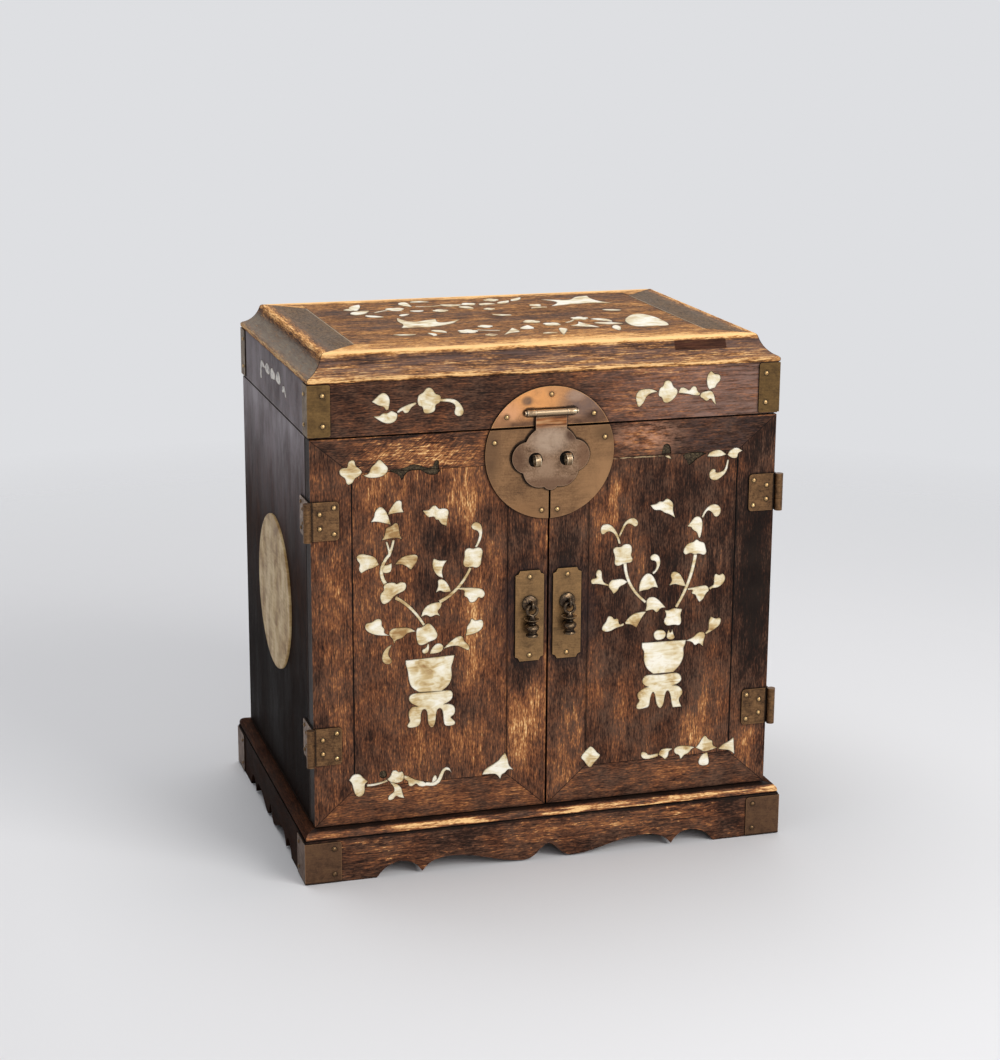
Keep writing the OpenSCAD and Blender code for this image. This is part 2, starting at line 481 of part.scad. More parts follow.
right_inlay = [
    [[-13.5, -24, 1], [19.5, -24.5, 1], [19, -28], [17.5, -30], [18.5, -36], [15.5, -43],
    [10.5, -47.5, 1], [-4.5, -47.5, 1], [-9.5, -43.5], [-12, -37], [-11.5, -30], [-13.5, -28]],
    [[1.5, -49], [-7.5, -48], [-11.5, -49], [-13, -53], [-10.5, -56], [-7.5, -57, 1], [-12.5, -58],
    [-16.5, -61.5], [-15.5, -65], [-14, -67], [-17, -70], [-16, -73.5], [-10, -72.5], [-7, -72],
    [-6.5, -65], [-4.5, -60], [-2.5, -63.5], [-1.5, -71], [1.5, -74.5], [4, -70.5], [4.5, -64],
    [6.5, -60], [9, -63.5], [10, -71], [11, -74, 1], [17.5, -74, 1], [15.5, -70], [15.5, -67],
    [18.5, -64], [17, -60], [14, -58], [10, -57.5, 1], [14.5, -56.5], [17.5, -53.5], [15.5, -49],
    [10.5, -48]],
    [[-9.5, 76, 1], [-4.5, 76.5], [-3, 78.5], [0, 77.5], [2.5, 80.5], [5.5, 78.5], [7.5, 76], [7, 71],
    [9, 66, 1], [4.5, 69], [1, 70], [-2, 72.5], [-6.5, 72]],
    [[-31, 50, 1], [-32.5, 55.5], [-36, 62], [-40.5, 65], [-45.5, 64], [-46, 59], [-44, 57], [-40.5, 60],
    [-36.5, 58.5], [-33.5, 54], [-32.5, 50, 1]],
    [[-32.5, 55.5, 1], [-30.5, 60.5], [-28, 65.5], [-23.5, 68], [-19.5, 67], [-18, 63], [-20.5, 61],
    [-22.5, 63], [-26.5, 64.5], [-28.5, 61], [-31.5, 55, 1]],
    [[-37, 46], [-34, 48], [-30.5, 47], [-28.5, 49.5], [-23, 49], [-22.5, 43.5], [-23.5, 41],
    [-21.5, 38], [-23, 35.5], [-27.5, 36], [-32.5, 33.5], [-35.5, 35.5], [-34.5, 40.5]],
    [[-25.5, 22, 1], [-29, 24.5], [-34.5, 24], [-37.5, 24], [-40, 20], [-37, 16.5], [-35.5, 14, 1],
    [-32.5, 16], [-31.5, 19], [-28, 20]],
    [[-39.5, 21, 1], [-43, 22.5], [-44.5, 26.5], [-44.5, 31.5], [-47.5, 32.5], [-49, 29], [-47.5, 26],
    [-52.5, 26], [-52, 22], [-47.5, 22.5], [-39.5, 20, 1]],
    [[-16.5, 14, 1], [-16.5, 19], [-14.5, 24], [-10.5, 27.5], [-6, 25], [-2.5, 16, 1], [-6.5, 17],
    [-9.5, 15], [-13.5, 15]],
    [[-7, 27, 1], [-4.5, 29], [-3.5, 33], [-5, 36], [-8, 36], [-9, 39], [-5.5, 41], [-2, 39], [-1, 33.5],
    [-3, 28.5], [-6, 26, 1]],
    [[-11, 7.5], [-8.5, 9.5], [-3.5, 9], [3.5, 1, 1], [-0.5, 1], [-3, -3], [-5.5, 0.5], [-8.5, 0],
    [-11.5, -0.5, 1], [-10.5, 3]],
    [[-11, -1, 1], [-15, -1], [-21, -2], [-25.5, -6], [-27, -9], [-22.5, -9], [-18, -12, 1], [-14, -4.5]],
    [[-43.5, -13], [-43.5, -9], [-40.5, -6.5], [-39.5, -2], [-36, -2.5], [-35, -5], [-31.5, -4],
    [-31.5, -8.5], [-28, -10, 1], [-33.5, -11], [-37.5, -13.5]],
    [[2.5, -0.5], [5.5, -2], [9.5, 0], [13.5, -1], [16.5, -1], [14.5, -5], [16, -10], [14.5, -13.5],
    [10.5, -12], [4.5, -13], [2, -9], [5, -5]],
    [[-5, -17], [-1.5, -15], [3, -16], [4.5, -18.5], [3.5, -21.5], [1, -22.5], [-2.5, -23],
    [-4.5, -20.5]],
    [[5, -19], [6.5, -15.5, 1], [7, -18], [8.5, -18], [9, -15.5, 1], [10, -19.5], [11.5, -22],
    [8.5, -23.5], [5, -22]],
    [[20, -25, 1], [25.5, -23], [28, -20], [32.5, -19], [34.5, -22], [33, -25.5], [32.5, -30, 1],
    [29.5, -27], [26.5, -29.5], [24.5, -26]],
    [[35.5, -21, 1], [37, -17], [36.5, -13], [38, -8], [41.5, -11], [46, -9.5], [45.5, -15], [41.5, -18]],
    [[18.5, 15.5, 1], [16.5, 20], [13.5, 25.5], [8.5, 27], [6.5, 24], [8.5, 20.5], [6, 17, 1],
    [10.5, 18], [14.5, 16]],
    [[20, 13.5, 1], [29.5, 14.5], [34.5, 15], [36.5, 11], [33.5, 9], [32, 5], [29, 3, 1], [27, 6],
    [26, 9], [22.5, 9.5], [24.5, 12.5], [20, 12.5, 1]],
    [[38.5, 12.5, 1], [40, 16], [39.5, 19], [40.5, 23.5], [43.5, 21], [46.5, 23], [48.5, 19], [46.5, 15],
    [42.5, 12.5]],
    [[18.5, 59, 1], [21.5, 62.5], [24.5, 66], [28.5, 65], [30, 60], [28.5, 50], [27, 50], [26, 54.5],
    [22.5, 56], [21.5, 58.5]],
    [[29, 65, 1], [30.5, 69], [34.5, 73], [39.5, 74], [43.5, 70.5], [42.5, 65.5], [39, 64], [37, 68],
    [33.5, 70], [31.5, 67.5], [30, 64.5, 1]],
    [[18, 45.5], [21, 47], [23.5, 47], [25.5, 49.5], [28, 47], [31.5, 46.5], [32.5, 42.5], [33.5, 39],
    [31.5, 37], [27.5, 39], [24.5, 38], [21, 40], [17.5, 38], [15.5, 41]],
    [[-58.5, -105], [-53.5, -100], [-50.5, -97], [-47.5, -100], [-45.5, -103], [-42.5, -105],
    [-48, -110], [-50.5, -114], [-53.5, -111], [-55, -108]],
    [[-12.5, -108], [-12, -105.5], [-8, -106.5], [-7, -109], [0.5, -108, 1], [0.5, -110, 1],
    [-5.5, -111.5], [-11, -111]],
    [[1, -109, 1], [2, -106], [5.5, -104.5], [11.5, -105.5, 1], [8.5, -107], [8.5, -110.5], [6, -113, 1],
    [3.5, -110.5]],
    [[12.5, -106], [15.5, -104], [21, -104], [28.5, -106, 1], [26, -107], [23.5, -110.5], [21, -110.5],
    [18, -114, 1], [17, -110.5], [13.5, -109.5]],
    [[29.5, -106.5, 1], [32, -104], [33.5, -101], [36.5, -97], [39, -101.5], [42.5, -102], [42, -106],
    [46, -108, 1], [36, -110.5], [33.5, -108.5]],
    [[38.5, -111, 1], [34.5, -112], [32, -116], [32, -120], [37.5, -121], [40.5, -119.5]],
    [[47, -109, 1], [50.5, -106], [55, -104.5], [58.5, -101.5, 1], [59.5, -114, 1], [55.5, -110.5],
    [50.5, -110]],
    [[0.5, 110.5, 1], [3.5, 111], [5, 108.5, 1], [2.5, 109]],
    [[32, 108.5, 1], [34, 111.5], [41, 113], [44, 110.5], [46, 109, 1], [40.5, 107.5]],
    [[47, 108.5, 1], [48.5, 111.5], [53.5, 114], [58, 111, 1], [54.5, 109.5], [54.5, 106], [50.5, 106]],
    [[33.5, 95.5], [35, 99], [38.5, 99], [38, 96], [42.5, 96.5], [45.5, 98], [47, 105, 1], [48, 105, 1],
    [47, 97], [43, 93], [38.5, 90.5], [34.5, 92]],
    ["stem", [-27.5, 35.5], [-26.5, 18], [-11.5, 6], 2.3],
    ["stem", [-27.5, -9], [-28.5, -9], [-30, -10], 1.5],
    ["stem", [34.5, -21], [36.5, -19.5], [37.5, -18], 1.3],
    ["stem", [25, 38], [22.5, 18], [11.5, 0.5], 2.5],
    ["stem", [36.5, 12], [38, 13], [39.5, 14], 1.5]
];

right_lost = [
    [[-2, 112, 1], [-1.5, 117.5], [1.5, 120], [4.5, 117.5], [5, 112, 1]],
    [[13.5, 110.5, 1], [17.5, 112], [24.5, 112.5], [31.5, 110.5, 1], [25.5, 108], [18.5, 102.5, 1],
    [16, 107]]
];

// Places are measured from the middle of the sprig
lid_left_sprig = [
    [[-32, 4, 1], [-25.5, 10], [-22, 9], [-19.5, 5], [-21, -2, 1], [-22.5, -2, 1], [-24, 0.5], [-27, 1]],
    [[-31, -6, 1], [-26.5, -6], [-25, -4], [-21, -4.5], [-19, -2.5], [-16.5, -4], [-14.5, -5],
    [-15.5, -9.5], [-19.5, -11.5], [-25, -10.5]],
    [[-15, -3.5, 1], [-12.5, -1], [-2, 2.5], [-1.5, 1], [-5.5, -1], [-7, -4.5], [-10, -5], [-11, -2.5],
    [-14.5, -4.5, 1]],
    [[-1, 2], [-0.5, 7], [3, 8], [5.5, 12], [9.5, 11], [11, 7], [15.5, 6], [15, 1], [11, 0],
    [11.5, -4.5], [7, -6], [3, -5.5], [3, -1], [0, -0.5]],
    [[15, 3.5, 1], [21, 3.5], [26, 2.5], [30, -2], [31.5, -7], [28, -9.5], [24, -7], [26, -2], [23, 1],
    [15, 2, 1]]
];

lid_right_sprig = [
    [[-28.5, -9, 1], [-30.5, -2.5], [-28.5, 2], [-23, 3], [-18, 2.5], [-14.5, 0.5, 1], [-19, 0],
    [-22.5, -2], [-24, -6], [-27, -9.5]],
    [[-13.5, 0], [-12.5, 3.5], [-10, 4], [-9.5, 8], [-4.5, 8], [-3, 3], [0, 2], [0.5, -2], [-5, -7.5],
    [-10, -7.5], [-11, -3], [-13.5, -3]],
    [[1, -1, 1], [2.5, 3], [6.5, 2], [9, -0.5], [11, 3], [14, 3], [15, -1], [17, -2, 1], [16.5, -3.5, 1],
    [13, -3.5], [8, -2]],
    [[17.5, -2], [21, -1], [25.5, -0.5], [27.5, -4], [29, -11, 1], [27, -9], [25, -5.5], [22, -8.5],
    [19, -5.5], [17, -5]],
    [[24, 0, 1], [22.5, 2], [21.5, 7], [22.5, 11], [25, 13.5], [27, 10.5], [31.5, 10.5], [32, 6],
    [29, 4], [28, 1], [25.5, 1]]
];

lid_side_sprig = [
    [[34, 3, 1], [40, 5.5], [47, 6], [51.5, 1], [50.5, -8, 1], [46.5, -8, 1], [46.5, -1], [42, 2],
    [34, 1.5, 1]],
    [[33, 3, 1], [29, 6], [23, 8], [15, 4, 1], [16, 0], [24, -0.5], [29, 0]],
    [[13, 2], [11, 6], [6, 7], [0, 5], [-5, 4.5], [-4, 0], [1, -0.5], [7, -1], [11, -1.5]],
    [[-6, 1, 1], [-8.5, 5], [-14, 9], [-20, 7], [-24.5, 2, 1], [-20, -0.5], [-12, -0.5]],
    [[-28, -3, 1], [-30, 1], [-35, 2], [-40, 0], [-42, -5.5, 1], [-39, -5], [-36, -1], [-32, -4]]
];

// Places are measured from the middle of the lid
top_inlay = [
    [[-72, 19, 1], [-69, 3], [-63, -2], [-57, 3], [-46.5, 7, 1], [-49.5, -8], [-42, -9], [-30.5, 1, 1],
    [-39, -13], [-50, -20], [-62, -25], [-79, -22, 1], [-74, -11], [-75.5, 5]],
    [[54.5, 74.5, 1], [66, 69], [74, 66], [79, 72], [83, 80], [94, 83, 1], [92, 70], [94, 56],
    [101, 45, 1], [88, 51], [74, 49.5], [53, 43.5, 1], [61, 54], [63, 63]],
    [[101, -5], [108, -11], [111, -30], [109, -58], [104, -60.5], [84, -60], [80.5, -52], [83, -32],
    [92, -16]],
    [[49.5, -29, 1], [52, -40], [57, -55, 1], [46, -49], [39, -44, 1], [46, -40]],
    [[-4, -42, 1], [-2, -54], [-4, -60], [-10, -60], [-18, -69, 1], [-10, -54]],
    [[10, -34, 1], [12, -46], [8, -50], [0, -48], [2, -42]],
    [[28, -48], [33, -56], [30, -62], [22, -80, 1], [24, -66]],
    ["leaf", [-85, 84], [-95, 68], [-93, 57], 8],
    ["leaf", [-98, 39], [-95, 50], [-84, 55], 11],
    ["leaf", [-91, 36], [-88, 28], [-80, 26], 7],
    ["bloom", [-64, 57], 7.4, 3, 30],
    ["bloom", [-97, 63], 4.4, 4, 0],
    ["leaf", [-49, 88], [-55, 78], [-49, 66], 8],
    ["leaf", [-45, 86], [-38, 90], [-31, 84], 6],
    ["leaf", [-55, 48], [-50, 43], [-45, 47], 6],
    ["bloom", [-33, 43], 6, 4, 0],
    ["leaf", [-67, 26], [-65, 32], [-59, 34], 5],
    ["leaf", [-26, 70], [-20, 61], [-11, 66], 9],
    ["bloom", [-5, 67], 6, 4, 20],
    ["leaf", [-15, 58], [-10, 54], [-7, 46], 8],
    ["leaf", [3, 60], [7, 68], [15, 63], 8],
    ["leaf", [17, 64], [23, 68], [29, 76], 7],
    ["leaf", [31, 74], [36, 80], [42, 88], 6],
    ["bloom", [17, 82], 6, 4, 0],
    ["bloom", [4, 42], 4.4, 4, 0],
    ["leaf", [35, 37], [42, 42], [48, 39], 5],
    ["bloom", [42, 50], 5, 4, 30],
    ["leaf", [-1, 18], [5, 11], [12, 12], 6],
    ["leaf", [84, 18], [90, 13], [97, 13], 6],
    ["bloom", [-20.5, -31], 5.6, 4, 0],
    ["bloom", [17, -20], 6.6, 3, 90],
    ["bloom", [28, -34], 6.6, 4, 45],
    ["bloom", [55, -15], 6.6, 5, 0],
    ["leaf", [62, -20], [71, -22], [73, -35], 8],
    ["leaf", [59, -36], [68, -41], [78, -44], 8],
    ["leaf", [66, -70], [68, -56], [71, -49], 6],
    ["leaf", [-62, -38], [-56, -41], [-54, -50], 7],
    ["leaf", [-92, -49], [-84, -52], [-76, -51], 4.4],
    ["leaf", [-67, -48], [-62, -55], [-66, -60], 4.4],
    ["bloom", [-38, -48], 7.4, 5, 0],
    ["bloom", [-26, -66], 4.6, 4, 0],
    ["leaf", [10, -70], [16, -66], [21, -70], 5],
    ["stem", [-82, 46], [-77, 51], [-71, 54], 1.8],
    ["stem", [-27, 66], [-37, 62], [-46, 66], 1.8],
    ["stem", [40, -30], [46, -26], [49, -20], 1.8],
    ["stem", [-30, -44], [-24, -48], [-15, -50], 1.8]
];

// NAILS
// A domed nail whose head sits on z = 0 and whose shank goes down
module nail() {
    dome_r = (nail_r*nail_r + nail_h*nail_h)/(2*nail_h);
    intersection() {
        translate([0, 0, nail_h - dome_r]) sphere(dome_r);
        cylinder(h = nail_h, r = nail_r + 1);
    }
    translate([0, 0, -nail_l]) cylinder(h = nail_l + 0.1, r = shank_r);
}

module nail_hole() {
    translate([0, 0, -nail_l - nail_fit]) cylinder(h = nail_l + 2, r = shank_r + nail_fit);
}

// Puts a nail, or its hole, at each front-view place on the plane y
module on_front(y, list) {
    for (p = list) translate([p.x, y, p.y]) rotate([90, 0, 0]) children();
}

// The same on the left side, where a place is (depth, height)
module on_left(x, list) {
    for (p = list) translate([x, p.x, p.y]) rotate([0, -90, 0]) children();
}

// The same on the back
module on_back(y, list) {
    for (p = list) translate([p.x, y, p.y]) rotate([-90, 0, 0]) children();
}

hinge_zs = [base_h + hinge_low, lid_line_z - hinge_up];
door_leaf_nails = [for (z = hinge_zs) each [
    [-half_w + door_leaf_w - 3.4, z - hinge_h/2 + 4.2], [-half_w + door_leaf_w - 3.4, z + hinge_h/2 - 4.2],
    [-half_w + 6.4, z - 5], [-half_w + 6.4, z + 5]]];
side_leaf_nails = [for (z = hinge_zs) each [
    [front_y + side_leaf_w - 4, z - hinge_h/2 + 4.2], [front_y + side_leaf_w - 4, z + hinge_h/2 - 4.2],
    [case_y + 3.4, z - 5], [case_y + 3.4, z + 5]]];
strap_w = 14.5;
strap_inset = 0.8;
strap_nails = [[-half_w + 9.4, lid_bottom + 8], [-half_w + 9.4, lid_top - 8]];
strap_side_nails = [[front_y + 9.4, lid_bottom + 8], [front_y + 9.4, lid_top - 8]];
cap_top = base_h - bead_h - 1.5;
cap_nails = [[-half_w - overhang + cap_w - 5, 6.5], [-half_w - overhang + cap_w - 5, cap_top - 5]];
cap_side_nails = [[front_y - overhang + cap_w - 5, 6.5], [front_y - overhang + cap_w - 5, cap_top - 5]];

// A place near the lock plate's rim, at an angle from straight up
function by_rim(a) = [0, lock_z] + (lock_r - rim_inset)*[sin(a), cos(a)];
lock_nails = [by_rim(-77.5), by_rim(-172)];
lid_lock_nails = [by_rim(1), by_rim(-50), by_rim(50.5)];

pull_nails = [[-pull_x, pull_z + pull_h/2 - 4.4], [-pull_x, pull_z - pull_h/2 + 4]];
lid_hinge_nails = [for (sx = [-1, 1]) for (dx = [-1, 1])
    [sx*lid_hinge_x + dx*(lid_hinge_w/2 - 5), lid_leaf_h - 6]];
body_leaf_nails = [for (p = lid_hinge_nails) [p.x, lid_line_z - p.y]];
lid_leaf_nails = [for (p = lid_hinge_nails) [p.x, lid_line_z + p.y]];

// PLINTH
// Section of an apron: distance in from its outer face, height
function apron_section() = let(b = base_h - bead_h)
    concat([[0, 0], [apron_t, 0], [apron_t, base_h], [overhang - 0.8, base_h]],
        curve([overhang - 0.8, base_h], [overhang*0.25, base_h], [0.3, b + bead_h*0.6], [0.4, b + 0.9], 8),
        [[1.1, b + 0.5], [1.1, b], [0, b]]);

// The lower edge of an apron of half length hl, from its middle to a foot
function arches(hl) = let(e = hl - foot_l, h = arch_h) concat([[0, h*1.15]],
    curve([0, h*1.15], [e*0.05, h], [e*0.07, h*0.12], [e*0.14, h*0.1], 6),
    curve([e*0.14, h*0.1], [e*0.30, h*0.1], [e*0.40, h], [e*0.58, h], 7),
    curve([e*0.58, h], [e*0.67, h], [e*0.71, h*0.6], [e*0.74, h*0.12], 5),
    curve([e*0.74, h*0.12], [e*0.77, h*0.7], [e*0.80, h], [e*0.86, h], 5),
    curve([e*0.86, h], [e*0.93, h], [e*0.97, h*0.5], [e, 0], 5));

module under_cut(hl) {
    right = arches(hl);
    left = flipped(right);
    polygon(concat([[-hl + foot_l, -1]], [for (i = [0:len(left) - 2]) left[i]], right, [[hl - foot_l, -1]]));
}

base_x = half_w + overhang;
base_y = front_y - overhang;
base_half_d = body_d/2 + overhang;

module front_apron() {
    difference() {
        intersection() {
            slab_x(-base_x, base_x)
                polygon([for (p = apron_section()) [base_y + p.x, p.y]]);
            slab_z(0, base_h) polygon([[-base_x, base_y], [base_x, base_y],
                [base_x - apron_t, base_y + apron_t], [-base_x + apron_t, base_y + apron_t]]);
        }
        slab_y(base_y - 1, base_y + apron_t + 1) under_cut(base_x);
        nails_in_caps();
    }
}

module left_apron() {
    difference() {
        intersection() {
            slab_y(base_y, base_y + 2*base_half_d)
                polygon([for (p = apron_section()) [-base_x + p.x, p.y]]);
            slab_z(0, base_h) polygon([[-base_x, base_y], [-base_x, base_y + 2*base_half_d],
                [-base_x + apron_t, base_y + 2*base_half_d - apron_t],
                [-base_x + apron_t, base_y + apron_t]]);
        }
        translate([0, mid_y, 0]) slab_x(-base_x - 1, -base_x + apron_t + 1) under_cut(base_half_d);
        nails_in_caps();
        flip_y() nails_in_caps();
    }
}

module nails_in_caps() {
    both_sides() {
        on_front(base_y - cap_t, cap_nails) nail_hole();
        on_left(-base_x - cap_t, cap_side_nails) nail_hole();
    }
}

module base_front_apron() {
    color(rosewood) front_apron();
}

module base_back_apron() {
    color(rosewood) flip_y() front_apron();
}

module base_side_aprons() {
    color(dark_wood) both_sides() left_apron();
}

// A rectangle from the origin to w, h whose far corners are round
module far_rounded(w, h, r) {
    polygon(concat([[0, 0]], arc([w - r, r], r, -90, 0, 5), arc([w - r, h - r], r, 0, 90, 5), [[0, h]]));
}

// Sheet brass folded round the front left corner of a block
module corner_leaf(x, y, z, w, h, t, r) {
    slab_y(y - t, y) translate([x - t, z]) far_rounded(w + t, h, r);
    slab_x(x - t, x) translate([y - t, z]) far_rounded(w + t, h, r);
}

module cap() {
    difference() {
        corner_leaf(-base_x, base_y, 0.6, cap_w, cap_top - 0.6, cap_t, 2);
        nails_in_caps();
    }
}

module base_corner_caps() {
    color(old_brass) both_sides() {
        cap();
        flip_y() cap();
    }
}

// BODY
module bottom_board() {
    color(inner_wood) block([-inner_x - dado, case_y, base_h],
        [inner_x + dado, back_y - back_t, base_h + floor_t]);
}

module tray_floor() {
    color(inner_wood) block([-inner_x - dado, case_y, tray_z - tray_floor_t],
        [inner_x + dado, back_y - back_t, tray_z]);
}

module tray_front_board() {
    color(dark_wood) block([-inner_x, case_y, tray_z], [inner_x, case_y + tray_front_t, case_top]);
}

module back_panel() {
    color(dark_wood) difference() {
        block([-inner_x - dado, back_y - back_t, base_h], [inner_x + dado, back_y, case_top]);
        on_back(back_y + leaf_t, body_leaf_nails) nail_hole();
    }
}

module shelves() {
    for (z = [shelf_low_z, shelf_mid_z])
        block([-inner_x - dado, case_y + 3, z], [inner_x + dado, back_y - back_t, z + shelf_t]);
}

module drawer_partitions() {
    color(inner_wood) {
        shelves();
        for (row = [[shelf_low_z + shelf_t, shelf_mid_z], [row_top_z, tray_z - tray_floor_t]])
            block([-divider_t/2, case_y + 3, row[0]], [divider_t/2, back_y - back_t, row[1]]);
    }
}

disc_y = mid_y + 5;

module left_side() {
    difference() {
        block([-half_w, case_y, base_h], [-inner_x, back_y, case_top]);
        bottom_board();
        tray_floor();
        shelves();
        back_panel_block();
        translate([-half_w - 1, disc_y, disc_z]) rotate([0, 90, 0])
            cylinder(h = 1 + disc_t - disc_proud, r = disc_r, $fn = 96);
        on_left(-half_w - leaf_t, side_leaf_nails) nail_hole();
    }
}

module back_panel_block() {
    block([-inner_x - dado, back_y - back_t, base_h], [inner_x + dado, back_y + 1, case_top + 1]);
}

module left_side_panel() {
    color(dark_wood) left_side();
}

module right_side_panel() {
    color(dark_wood) flip_x() left_side();
}

// A round plaque with a softened rim
module disc() {
    edge = 1;
    translate([-half_w - disc_proud, disc_y, disc_z]) rotate([0, 90, 0])
        rotate_extrude($fn = 96) polygon(concat([[0, 0]],
            arc([disc_r - edge, edge], edge, -90, 0, 5), [[disc_r, disc_t], [0, disc_t]]));
}

module side_discs() {
    color(shell) both_sides() disc();
}

// DOOR HINGES
// The height of one of the three knuckles of a hinge
knuckle_h = (hinge_h - 2*knuckle_gap)/3;
hinge_bore_r = pin_r + pin_fit;

// Leaf on the side panel with its end knuckles and the pin
module side_leaf(z) {
    z0 = z - hinge_h/2;
    near = door_pin_y + knuckle_r + knuckle_gap;
    difference() {
        slab_x(-half_w - leaf_t, -half_w) translate([door_pin_y, z0])
            far_rounded(front_y + side_leaf_w - door_pin_y, hinge_h, leaf_corner);
        block([-half_w - leaf_t - 1, door_pin_y - 1, z0 + knuckle_h],
            [-half_w + 1, near, z0 + hinge_h - knuckle_h]);
        on_left(-half_w - leaf_t, side_leaf_nails) nail_hole();
    }
    translate([-door_pin_x, door_pin_y, z0]) {
        cylinder(h = hinge_h, r = pin_r);
        cylinder(h = knuckle_h, r = knuckle_r);
        translate([0, 0, hinge_h - knuckle_h]) cylinder(h = knuckle_h, r = knuckle_r);
    }
}

// Leaf on the door with the middle knuckle
module door_leaf(z) {
    z0 = z - hinge_h/2;
    k0 = z0 + knuckle_h + knuckle_gap;
    k1 = z0 + hinge_h - knuckle_h - knuckle_gap;
    difference() {
        union() {
            slab_y(front_y - leaf_t, front_y) translate([-half_w + 0.7, z0])
                far_rounded(door_leaf_w - 0.7, hinge_h, leaf_corner);
            slab_y(front_y - leaf_t, front_y)
                translate([-door_pin_x, k0]) square([door_pin_x - half_w + 2, k1 - k0]);
            translate([-door_pin_x, door_pin_y, k0]) cylinder(h = k1 - k0, r = knuckle_r);
        }
        translate([-door_pin_x, door_pin_y, z0 - 1]) cylinder(h = hinge_h + 2, r = hinge_bore_r);
        on_front(front_y - leaf_t, door_leaf_nails) nail_hole();
    }
}

module door_hinge_side_leaves() {
    color(old_brass) both_sides() for (z = hinge_zs) side_leaf(z);
}

module door_hinge_leaves() {
    color(old_brass) for (z = hinge_zs) door_leaf(z);
}

// LID HINGES
lid_knuckle_l = (lid_hinge_w - 2*knuckle_gap)/3;

// Leaf on the back of the body with its end knuckles and the pin
module body_leaf() {
    x0 = -lid_hinge_w/2;
    difference() {
        slab_y(back_y, back_y + leaf_t)
            translate([x0, lid_line_z - lid_leaf_h]) square([lid_hinge_w, lid_leaf_h]);
        block([x0 + lid_knuckle_l, back_y - 1, lid_line_z - knuckle_r - knuckle_gap],
            [-x0 - lid_knuckle_l, back_y + leaf_t + 1, lid_line_z + 1]);
    }
    translate([0, lid_pin_y, lid_line_z]) rotate([0, 90, 0]) {
        cylinder(h = lid_hinge_w, r = pin_r, center = true);
        for (s = [-1, 1]) translate([0, 0, s*(lid_hinge_w - lid_knuckle_l)/2])
            cylinder(h = lid_knuckle_l, r = knuckle_r, center = true);
    }
}

// Leaf on the back of the lid with the middle knuckle
module lid_leaf() {
    x0 = -lid_hinge_w/2;
    k = lid_hinge_w/2 - lid_knuckle_l - knuckle_gap;
    difference() {
        union() {
            difference() {
                slab_y(back_y, back_y + leaf_t) translate([x0, lid_line_z])
                    square([lid_hinge_w, lid_leaf_h]);
                for (s = [-1, 1]) translate([s*(lid_hinge_w/2 - lid_knuckle_l/2), back_y, lid_line_z])
                    cube([lid_knuckle_l + 2*knuckle_gap, 6, 2*(knuckle_r + knuckle_gap)], center = true);
            }
            translate([0, lid_pin_y, lid_line_z]) rotate([0, 90, 0])
                cylinder(h = 2*k, r = knuckle_r, center = true);
        }
        translate([0, lid_pin_y, lid_line_z]) rotate([0, 90, 0])
            cylinder(h = lid_hinge_w, r = hinge_bore_r, center = true);
    }
}

module lid_hinge_body_leaves() {
    color(old_brass) difference() {
        for (s = [-1, 1]) translate([s*lid_hinge_x, 0, 0]) body_leaf();
        on_back(back_y + leaf_t, body_leaf_nails) nail_hole();
    }
}

module lid_hinge_leaves() {
    color(old_brass) difference() {
        for (s = [-1, 1]) translate([s*lid_hinge_x, 0, 0]) lid_leaf();
        on_back(back_y + leaf_t, lid_leaf_nails) nail_hole();
    }
}

module body_nails() {
    color(old_brass) {
        both_sides() {
            on_left(-half_w - leaf_t, side_leaf_nails) nail();
            on_front(base_y - cap_t, cap_nails) nail();
            on_left(-base_x - cap_t, cap_side_nails) nail();
            flip_y() {
                on_front(base_y - cap_t, cap_nails) nail();
                on_left(-base_x - cap_t, cap_side_nails) nail();
            }
        }
        on_back(back_y + leaf_t, body_leaf_nails) nail();
    }
}

// LID
module lid_board_nails() {
    both_sides() {
        on_front(front_y - strap_t, strap_nails) nail_hole();
        on_left(-half_w - strap_t, strap_side_nails) nail_hole();
        flip_y() {
            on_front(front_y - strap_t, strap_nails) nail_hole();
            on_left(-half_w - strap_t, strap_side_nails) nail_hole();
        }
    }
}

strap_t = 1;
sprig_x = half_w*0.55;
sprig_z = (lid_bottom + lid_top)/2 + 0.5;
side_sprig_y = mid_y - 4;

module front_sprigs(g = 0) {
    translate([-sprig_x, sprig_z]) pieces(lid_left_sprig, front_art, g);
    translate([sprig_x, sprig_z]) pieces(lid_right_sprig, front_art, g);
}

module side_sprig(g = 0) {
    translate([side_sprig_y, sprig_z]) pieces(lid_side_sprig, side_art, g);
}

inlay_y0 = front_y - inlay_proud;
inlay_y1 = inlay_y0 + inlay_t;
inlay_x0 = -half_w - inlay_proud;
inlay_x1 = inlay_x0 + inlay_t;

module lid_plank() {
    slab_z(lid_bottom, lid_top) polygon([[-half_w, front_y], [half_w, front_y],
        [half_w - lid_t, front_y + lid_t], [-half_w + lid_t, front_y + lid_t]]);
}

module lid_front_board() {
    color(rosewood) difference() {
        lid_plank();
        slab_y(front_y - 1, inlay_y1) front_sprigs(inlay_gap);
        on_front(plate_y, lid_lock_nails) nail_hole();
        lid_board_nails();
    }
}

module lid_back_board() {
    color(rosewood) difference() {
        flip_y() lid_plank();
        on_back(back_y + leaf_t, lid_leaf_nails) nail_hole();
        lid_board_nails();
    }
}

module lid_side_boards() {
    color(rosewood) both_sides() difference() {
        slab_z(lid_bottom, lid_top) polygon([[-half_w, front_y], [-half_w, back_y],
            [-half_w + lid_t, back_y - lid_t], [-half_w + lid_t, front_y + lid_t]]);
        slab_x(-half_w - 1, inlay_x1) side_sprig(inlay_gap);
        lid_board_nails();
    }
}

